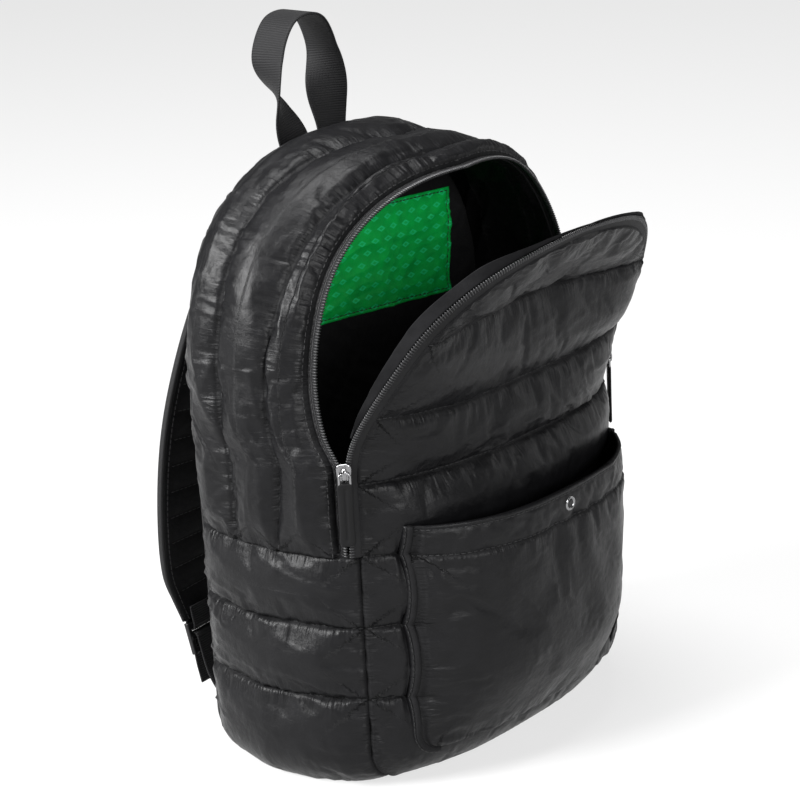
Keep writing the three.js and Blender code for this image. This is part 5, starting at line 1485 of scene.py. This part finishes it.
def make_strap(side, sign):
    """A padded strap: a rounded section that thins at its end, with quilting lines across it, and a
    bound edge on each side."""
    size = bpy.context.scene.bag_sizes
    path, run, across, out, width = strap_line(sign)
    length_ = np.concatenate([[0], np.cumsum(np.linalg.norm(np.diff(path, axis=0), axis=1))])
    quilt = puffed((length_ / (20 * MM)) % 1.0)
    thin = fade(length_[-1] - length_, 0, 50 * MM)
    thick = size.strap_thickness * (0.5 + 0.5 * thin)
    turn = 2 * np.pi * (np.arange(72) + 0.5) / 72
    c, s = np.cos(turn), np.sin(turn)
    a = np.sign(c) * np.abs(c) ** 0.5
    b = np.sign(s) * np.abs(s) ** 0.8
    middle = 1 - np.abs(a) ** 6
    ridge = 0.72 + 0.28 * (quilt[:, None] * middle + (1 - middle))
    ripples = 0.06 * (ripple(a[None] * 30 * MM + 0.0 * length_[:, None], 7 * MM, 800) - 0.5) * (1 - quilt[:, None])
    ring = np.stack([a * (width[:, None] / 2 - 1.0 * MM), b * thick[:, None] / 2 * (ridge + ripples)], -1)
    body = bar_part(path, across, out, ring)
    strap = build(f"strap_pad_{side}", [body], [finish_of("shell_satin")])
    bound, rows = [], []
    for k in (-1, 1):
        centre = path + across * (k * (width / 2 - 2.4 * MM))[:, None]
        bound.append(bar_part(centre, across, out, ring_of(4.8 * MM, 5.0 * MM, 2.6, 16) * np.stack([np.ones_like(thick), thick / size.strap_thickness * 1.1], -1)[:, None]))
        inner = path + across * (k * (width / 2 - 5.4 * MM))[:, None]
        rows.append(stitch_row(inner + out * (thick * 0.40)[:, None], out))
        rows.append(stitch_row(inner - out * (thick * 0.40)[:, None], -out))
    marks = np.arange(1, int(length_[-1] / (20 * MM))) * 20 * MM
    for at in marks:
        i = int(np.abs(length_ - at).argmin())
        w = width[i] / 2 - 9 * MM
        reach = np.linspace(-w, w, 12)[:, None]
        for k in (-1, 1):
            place = path[i] + across[i] * reach + out[i] * k * thick[i] * 0.36
            rows.append(stitch_row(place, np.broadcast_to(out[i] * k, place.shape)))
    binding = build(f"strap_binding_{side}", bound, [finish_of("binding")])
    return strap, binding, build(f"strap_stitches_{side}", rows, [finish_of("thread")])


def lock_frame(sign):
    path, run, across, out, width = strap_line(sign)
    down, side, face = run[-1], across[-1], out[-1]
    return path[-1] + down * (2 * MM + 1.6 * MM + 3 * GAP), side, down, face


def lock_point(frame_, a, b):
    at, side, down, face = frame_
    a, b = np.broadcast_arrays(np.asarray(a, float), np.asarray(b, float))
    return at + down * a[..., None] + face * b[..., None]


def make_lock(side_name, sign):
    """A ladder lock: three rounded bars between two rails."""
    at, side, down, face = lock_frame(sign)
    parts = []
    pitch = 10 * MM
    for k in range(3):
        reach = np.linspace(-15.5 * MM, 15.5 * MM, 24)[:, None]
        middle = at + down * pitch * k + side * reach
        grip = 1 + 0.12 * np.cos(reach[:, 0] / (1.2 * MM)) * (k == 1)
        ring = ring_of(4 * MM, 4 * MM, 3.2, 16) * grip[:, None, None]
        parts.append(bar_part(middle, np.broadcast_to(down, middle.shape), np.broadcast_to(face, middle.shape), ring))
    for k in (-1, 1):
        reach = np.linspace(-2 * MM, 2 * pitch + 2 * MM, 24)[:, None]
        middle = at + down * reach + side * k * 14.5 * MM
        parts.append(bar_part(middle, np.broadcast_to(side, middle.shape), np.broadcast_to(face, middle.shape), ring_of(4 * MM, 4 * MM, 4.0, 16)))
    return build(f"ladder_lock_{side_name}", parts, [finish_of("buckle_plastic")])


def round_bar(frame_, a, reach, upward):
    turn = np.linspace(0, np.pi, 15)
    return lock_point(frame_, a + (-1 if upward else 1) * reach * np.sin(turn), reach * np.cos(turn))


def folded_web(name, points, across, width, thickness):
    line = np.concatenate([points[:1], points[1:][np.linalg.norm(np.diff(points, axis=0), axis=1) > 0.05 * MM]])
    run = np.concatenate([[0], np.cumsum(np.linalg.norm(np.diff(line, axis=0), axis=1))])
    path = pick(line, run, np.linspace(0, run[-1], int(run[-1] / (1 * MM)) + 1))
    side = np.broadcast_to(across, path.shape)
    out = unit(np.cross(tangents(path), side))
    return build(name, [bar_part(path, side, out, flat_ring(width, thickness, 14))], [finish_of("webbing")]), path, out


def make_adjuster(side_name, sign):
    """The webbing that holds a ladder lock, the web that runs from it to the back, and its anchor."""
    size = bpy.context.scene.bag_sizes
    frame_ = lock_frame(sign)
    at, side, down, face = frame_
    thick = 1.6 * MM
    reach = math.hypot(4 * MM, 4 * MM) / 2 + GAP + thick / 2
    width = 33 * MM - 8 * MM - 4 * GAP
    leg = size.strap_thickness / 4 + GAP + thick / 2
    loop_points = np.concatenate([
        lock_point(frame_, [-14 * MM, -7 * MM], [leg + 1.6 * MM, leg + 0.8 * MM]),
        round_bar(frame_, 0.0, reach, False),
        lock_point(frame_, [-7 * MM, -14 * MM], [-leg - 0.8 * MM, -leg - 1.6 * MM]),
    ])
    loop, _, _ = folded_web(f"lock_loop_{side_name}", loop_points, side, width, thick)
    y = size.body_depth / 2 + 4 * MM + GAP + size.web_thickness / 2
    knots = np.array([(at[0], y + off * 34 * MM, 30 * MM * up) for off, up in ((0, 1.1), (0, 0.75), (0.02, 0.52), (0.22, 0.42), (0.6, 0.4), (1, 0.52))])
    path, share_ = curve(knots, 1.2 * MM)
    right = np.broadcast_to(np.array([1.0, 0, 0]), path.shape)
    out = unit(np.cross(tangents(path), right))
    ring = flat_ring(48 * MM, size.web_thickness, 18)
    narrow = 1 + (25 / 48 - 1) * share_
    ring = ring[None] * np.stack([narrow, np.ones_like(narrow)], -1)[:, None]
    anchor = build(f"anchor_web_{side_name}", [bar_part(path, right, out, ring)], [finish_of("webbing")])
    tip = knots[-1]
    start = lock_point(frame_, 26 * MM, -reach)
    lift = size.web_thickness / 2 + thick / 2 + GAP
    inner = np.array([at[0], tip[1] - 34 * MM * 0.3, tip[2] - 30 * MM * 0.05 + lift])
    outer = np.array([at[0], tip[1] - 34 * MM * 0.04, tip[2] + lift])
    lower, _ = curve(np.stack([start - down * 2 * MM, start, (start + outer) / 2 + np.array([0, 3 * MM, 0]), outer, inner]), 1.5 * MM)
    points = np.concatenate([
        lower[::-1],
        lock_point(frame_, 20 * MM, -reach)[None],
        round_bar(frame_, 10 * MM, reach, True)[::-1],
        lock_point(frame_, [20 * MM, 33 * MM, 46 * MM], [reach, reach + 1 * MM, reach + 1 * MM]),
    ])
    web, line, normal = folded_web(f"adjuster_web_{side_name}", points, side, width, thick)
    rows = []
    for k in (-1, 1):
        rows.append(stitch_row(path[4:12] + right[4:12] * k * 18 * MM + np.array([0, 1.0 * MM, 0]), np.broadcast_to(np.array([0.0, 1, 0]), (8, 3))))
    return loop, anchor, web, build(f"anchor_stitches_{side_name}", rows, [finish_of("thread")])


# Zip pulls

def slider_frame(line, sign):
    size = bpy.context.scene.bag_sizes
    s = np.array([line.left(size.slider_z)])
    middle = (body_zip(line, s, 1.0)[0] + flap_zip(line, s, 1.0)[0]) / 2
    middle[0] *= -sign
    out = unit(np.array([sign, -1.0, 0]))
    up = np.array([0.0, 0, 1])
    return middle, np.cross(up, out), up, out


def slab(outline, layers):
    """A flat rounded body: an outline repeated at several heights, drawn in by each layer's inset."""
    n = len(outline)
    middle = outline.mean(0)
    rings = []
    for height, inset in layers:
        reach = np.linalg.norm(outline - middle, axis=1, keepdims=True)
        rings.append(np.concatenate([middle + (outline - middle) * (1 - inset / reach), np.full((n, 1), height)], 1))
    ring = np.stack(rings)
    i, j = np.meshgrid(np.arange(len(layers) - 1), np.arange(n), indexing="ij")
    k = (j + 1) % n
    quads = np.stack([i * n + j, i * n + k, (i + 1) * n + k, (i + 1) * n + j], -1)
    total, last, j = len(layers) * n, (len(layers) - 1) * n, np.arange(n)
    k = (j + 1) % n
    points = np.concatenate([ring.reshape(-1, 3), [[*middle, layers[0][0]], [*middle, layers[-1][0]]]])
    tris = np.concatenate([np.stack([np.full(n, total), k, j], -1), np.stack([np.full(n, total + 1), last + j, last + k], -1)])
    return Part(points, points[:, :2] / MM, quads, tris)


def make_slider(line, side_name, sign):
    """A zip slider: a plate wider at its upper end and an arched bridge."""
    frame_ = slider_frame(line, sign)
    foot = 2.8 * MM + 2 * GAP
    a = 2 * np.pi * np.arange(48) / 48
    c, s = np.cos(a), np.sin(a)
    y = 6.5 * MM * np.sign(s) * np.abs(s) ** 0.55
    x = (5.0 + 0.5 * y / (6.5 * MM)) * MM * np.sign(c) * np.abs(c) ** 0.5
    plate = slab(np.stack([x, y], -1), [(foot, 0.5 * MM), (foot + 0.35 * MM, 0), (foot + 1.5 * MM, 0), (foot + 2.2 * MM, 0.35 * MM), (foot + 2.5 * MM, 1.1 * MM), (foot + 2.35 * MM, 2.2 * MM)])
    turn = np.linspace(0, np.pi, 25)
    arch = np.stack([0 * turn, -4.0 * MM * np.cos(turn) * np.abs(np.cos(turn)) ** -0.35, foot + 2.0 * MM + 4.0 * MM * np.sin(turn) ** 0.7], -1)
    run = tangents(arch)
    side = np.broadcast_to(np.array([1.0, 0, 0]), arch.shape)
    bridge = bar_part(arch, side, np.cross(side, run), ring_of(3 * MM, 1.4 * MM, 3.0, 16))
    parts = [placed(plate, *frame_), placed(bridge, *frame_)]
    return build(f"slider_body_{side_name}", parts, [finish_of("plated_metal")])


def make_pull(line, side_name, sign):
    """The wire link through the bridge, and the soft tab that hangs from it with a fold down its
    middle and a rolled edge."""
    frame_ = slider_frame(line, sign)
    pivot = 2.8 * MM + 2 * GAP + 2.6 * MM + 1.4 * MM
    half, reach, round_ = 3.7 * MM, 9 * MM, 1.6 * MM
    corners = []
    for cx, cy, from_ in ((half - round_, -round_, 0), (-half + round_, -round_, 90), (-half + round_, -reach + round_, 180), (half - round_, -reach + round_, 270)):
        turn = np.radians(np.linspace(from_, from_ + 90, 8))
        corners.append(np.stack([cx + round_ * np.cos(turn), cy + round_ * np.sin(turn), np.full(8, pivot)], -1))
    path = np.concatenate(corners)
    path = np.concatenate([path, path[:1]])
    run = np.concatenate([[0], np.cumsum(np.linalg.norm(np.diff(path, axis=0), axis=1))])
    path = pick(path, run, np.linspace(0, run[-1], 80, endpoint=False))
    tangent = unit(np.roll(path, -1, 0) - np.roll(path, 1, 0))
    up = np.broadcast_to(np.array([0.0, 0, 1]), path.shape)
    link = bar_part(path, np.cross(up, tangent), up, ring_of(1.8 * MM, 1.8 * MM, 2.0, 14), closed=True)
    link_piece = build(f"link_{side_name}", [placed(link, *frame_)], [finish_of("plated_metal")])
    top, long, wide = -5.7 * MM, 45 * MM, 11 * MM
    v = np.linspace(0, 1, 90)[:, None]
    u = np.sin(np.linspace(-1, 1, 41) * np.pi / 2)[None]
    end = np.minimum(v, 1 - v) * long
    w = wide / 2 * (1 - 0.42 * (1 - np.clip(end / (3.4 * MM), 0, 1)) ** 2.4) * (0.95 + 0.05 * np.cos(2 * np.pi * v))
    thick = 1.3 * MM * np.sqrt(np.maximum(1 - np.abs(u) ** 4, 0.02)) * np.sqrt(np.clip(end / (1.0 * MM), 0.05, 1))
    fold = 0.55 * MM * np.exp(-((u / 0.2) ** 2)) * fade(end, 2 * MM, 6 * MM)
    x, y = np.broadcast_arrays(u * w, top - v * long)
    over = pivot + thick - fold
    under = pivot - thick + 0 * over
    uv = np.stack([x, y], -1) / MM
    tab = wall_part(np.stack([x, y, over], -1), np.stack([x, y, under], -1), uv)
    tab_piece = build(f"tab_{side_name}", [placed(tab, *frame_)], [finish_of("pull_rubber")])
    return link_piece, tab_piece


# Operators

class BagOperator:
    """What the bag's operators share."""

    bl_options = {"REGISTER", "UNDO"}


class BAG_OT_front(BagOperator, bpy.types.Operator):
    """Make the quilted front panel"""

    bl_idname = "bag.front"
    bl_label = "Front panel"

    def execute(self, context):
        piece, stitches = make_front(Outline())
        finish_piece(piece, "shell_fabric", "front_panel")
        finish_piece(stitches, "shell_fabric")
        return {"FINISHED"}


class BAG_OT_sides(BagOperator, bpy.types.Operator):
    """Make the quilted upper and lower sides and the folded seams between them"""

    bl_idname = "bag.sides"
    bl_label = "Sides"

    def execute(self, context):
        line = Outline()
        for make, node in ((make_upper, "upper_side"), (make_lower, "lower_side")):
            piece, stitches = make(line)
            finish_piece(piece, "shell_fabric", node)
            finish_piece(stitches, "shell_fabric")
        bands, rows = [], []
        for sign in (-1, 1):
            band, stitches = make_side_fold(line, sign)
            bands.append(band)
            rows.extend(stitches)
        finish_piece(build("side_folds", bands, [finish_of("shell_satin")]), "shell_fabric")
        finish_piece(build("side_fold_stitches", rows, [finish_of("thread")]), "shell_fabric")
        return {"FINISHED"}


class BAG_OT_back(BagOperator, bpy.types.Operator):
    """Make the padded back and its binding"""

    bl_idname = "bag.back"
    bl_label = "Back"

    def execute(self, context):
        pad, binding = make_back(Outline())
        finish_piece(pad, "back_mesh", "back_panel")
        finish_piece(binding, "webbing")
        return {"FINISHED"}


class BAG_OT_lining(BagOperator, bpy.types.Operator):
    """Make the padded lining, the printed patch on it and the band behind the zip"""

    bl_idname = "bag.lining"
    bl_label = "Lining"

    def execute(self, context):
        line = Outline()
        lining = finish_piece(make_lining(line), "lining_fabric", "back_lining")
        patch, stitches = make_patch()
        finish_piece(patch, "printed_lining", "lining_patch")
        finish_piece(stitches, "printed_lining")
        finish_piece(make_facing_band(line), "lining_fabric", "flap_facing")
        return {"FINISHED"}


class BAG_OT_zip(BagOperator, bpy.types.Operator):
    """Make both halves of the zip"""

    bl_idname = "bag.zip"
    bl_label = "Zip"

    def execute(self, context):
        line = Outline()
        for name, point, flip, node in (("body_zip", body_zip, 1, "zip_body_half"), ("flap_zip", flap_zip, 1, "zip_flap_half")):
            tape, teeth, ladder = make_zip_half(name, line, point, flip)
            finish_piece(tape, "zip_tape", node)
            finish_piece(teeth, "zip_tape", node)
            finish_piece(ladder, "zip_tape")
        return {"FINISHED"}


class BAG_OT_pulls(BagOperator, bpy.types.Operator):
    """Make the sliders, their links and the soft tabs"""

    bl_idname = "bag.pulls"
    bl_label = "Zip pulls"

    def execute(self, context):
        line = Outline()
        for side, sign in (("left", -1), ("right", 1)):
            finish_piece(make_slider(line, side, sign), "slider_metal", f"slider_{side}")
            link, tab = make_pull(line, side, sign)
            finish_piece(link, "slider_metal", f"pull_link_{side}", body=f"zip_pull_{side}")
            finish_piece(tab, "pull_rubber", f"pull_tab_{side}", body=f"zip_pull_{side}")
        return {"FINISHED"}


class BAG_OT_pocket(BagOperator, bpy.types.Operator):
    """Make the patch pocket, its bound edges, the snap and the blank label"""

    bl_idname = "bag.pocket"
    bl_label = "Pocket"

    def execute(self, context):
        pocket, binding, stitches = make_pocket()
        finish_piece(pocket, "shell_fabric", "pocket")
        finish_piece(binding, "shell_fabric")
        finish_piece(stitches, "shell_fabric")
        ring, cap = make_snap()
        finish_piece(ring, "snap_metal", "snap")
        finish_piece(cap, "snap_metal", "snap")
        label, rows = make_label()
        finish_piece(label, "label_fabric", "label")
        finish_piece(rows, "label_fabric")
        return {"FINISHED"}


class BAG_OT_loop(BagOperator, bpy.types.Operator):
    """Make the carry loop"""

    bl_idname = "bag.loop"
    bl_label = "Carry loop"

    def execute(self, context):
        loop, stitches = make_loop()
        finish_piece(loop, "webbing", "carry_loop")
        finish_piece(stitches, "webbing")
        return {"FINISHED"}


class BAG_OT_straps(BagOperator, bpy.types.Operator):
    """Make the shoulder straps, their ladder locks and their webbing"""

    bl_idname = "bag.straps"
    bl_label = "Shoulder straps"

    def execute(self, context):
        for side, sign in (("left", -1), ("right", 1)):
            strap, binding, stitches = make_strap(side, sign)
            finish_piece(strap, "shell_fabric", f"shoulder_strap_{side}")
            finish_piece(binding, "webbing")
            finish_piece(stitches, "shell_fabric")
            finish_piece(make_lock(side, sign), "buckle_plastic", f"buckle_{side}")
            loop, anchor, web, rows = make_adjuster(side, sign)
            finish_piece(loop, "webbing", f"buckle_loop_{side}")
            finish_piece(anchor, "webbing", f"anchor_{side}")
            finish_piece(web, "webbing", f"lower_web_{side}")
            finish_piece(rows, "webbing")
        return {"FINISHED"}


class BAG_OT_stage(BagOperator, bpy.types.Operator):
    """Make the pale floor, the soft light and the camera"""

    bl_idname = "bag.stage"
    bl_label = "Stage"

    def execute(self, context):
        stage = context.scene.bag_stage
        a, e, r = stage.azimuth, stage.elevation, stage.roll
        back = Vector((math.sin(a) * math.cos(e), -math.cos(a) * math.cos(e), math.sin(e)))
        level = Vector((math.cos(a), math.sin(a), 0))
        up = back.cross(level)
        right = math.cos(r) * level + math.sin(r) * up
        above = math.cos(r) * up - math.sin(r) * level
        data = bpy.data.cameras.new("photo_camera")
        data.lens = stage.focal * 36 / 800
        data.sensor_width = 36
        data.shift_x = -stage.centre_x / 800
        data.shift_y = stage.centre_y / 800
        data.clip_end = 50
        camera = bpy.data.objects.new("photo_camera", data)
        place = Vector((0, 0, stage.target_z)) + back * stage.distance
        camera.matrix_world = Matrix.Translation(place) @ Matrix((right, above, back)).transposed().to_4x4()
        context.collection.objects.link(camera)
        context.scene.camera = camera
        x, y = np.meshgrid(np.linspace(-12, 12, 25), np.linspace(-12, 12, 25), indexing="ij")
        i = (np.arange(24)[:, None] * 25 + np.arange(24)[None]).ravel()
        points = np.stack([x, y, 0 * x - 0.3 * MM], -1)
        quads = np.stack([i, i + 25, i + 26, i + 1], -1)
        floor = build("floor", [Part(points, np.zeros(2), quads)], [finish_of("paper")])
        for name, place, size, power in (
            ("key", (-2.1, 0.9, 1.6), 1.2, 190), ("mouth", (-1.0, -2.3, 1.15), 0.9, 52), ("top", (-0.2, 0.1, 2.6), 1.2, 80),
            ("right", (2.2, -1.4, 0.9), 1.0, 8),
        ):
            lamp = bpy.data.lights.new(name, "AREA")
            lamp.energy = power * stage.light
            lamp.size = size
            holder = bpy.data.objects.new(name, lamp)
            holder.location = place
            holder.rotation_euler = (Vector((0, 0, 0.25)) - Vector(place)).to_track_quat("-Z", "Y").to_euler()
            context.collection.objects.link(holder)
        world = bpy.data.worlds.new("soft_white")
        world.use_nodes = True
        world.node_tree.nodes["Background"].inputs[0].default_value = (1, 1, 1, 1)
        world.node_tree.nodes["Background"].inputs[1].default_value = 0.16 * stage.light
        context.scene.world = world
        context.scene.view_settings.view_transform = "Standard"
        return {"FINISHED"}


PIECES = (
    BAG_OT_stage, BAG_OT_front, BAG_OT_sides, BAG_OT_back, BAG_OT_lining, BAG_OT_zip, BAG_OT_pulls, BAG_OT_pocket,
    BAG_OT_loop, BAG_OT_straps,
)


class BAG_PT_panel(bpy.types.Panel):
    """Lists the bag's pieces, sizes and colours"""

    bl_idname = "BAG_PT_panel"
    bl_label = "Quilted backpack"
    bl_space_type = "VIEW_3D"
    bl_region_type = "UI"
    bl_category = "Backpack"

    def draw(self, context):
        for piece in PIECES:
            self.layout.operator(piece.bl_idname)
        for group in (context.scene.bag_sizes, context.scene.bag_colours, context.scene.bag_stage):
            box = self.layout.box()
            for name in group.__annotations__:
                box.prop(group, name)


CLASSES = (BagSizes, BagColours, BagStage, *PIECES, BAG_PT_panel)


def register():
    for kind in CLASSES:
        bpy.utils.register_class(kind)
    bpy.types.Scene.bag_sizes = PointerProperty(type=BagSizes)
    bpy.types.Scene.bag_colours = PointerProperty(type=BagColours)
    bpy.types.Scene.bag_stage = PointerProperty(type=BagStage)


def unregister():
    del bpy.types.Scene.bag_stage
    del bpy.types.Scene.bag_colours
    del bpy.types.Scene.bag_sizes
    for kind in reversed(CLASSES):
        bpy.utils.unregister_class(kind)


def main():
    register()
    bpy.ops.bag.stage()
    bpy.ops.bag.front()
    bpy.ops.bag.sides()
    bpy.ops.bag.back()
    bpy.ops.bag.lining()
    bpy.ops.bag.zip()
    bpy.ops.bag.pulls()
    bpy.ops.bag.pocket()
    bpy.ops.bag.loop()
    bpy.ops.bag.straps()


if __name__ == "__main__":
    main()
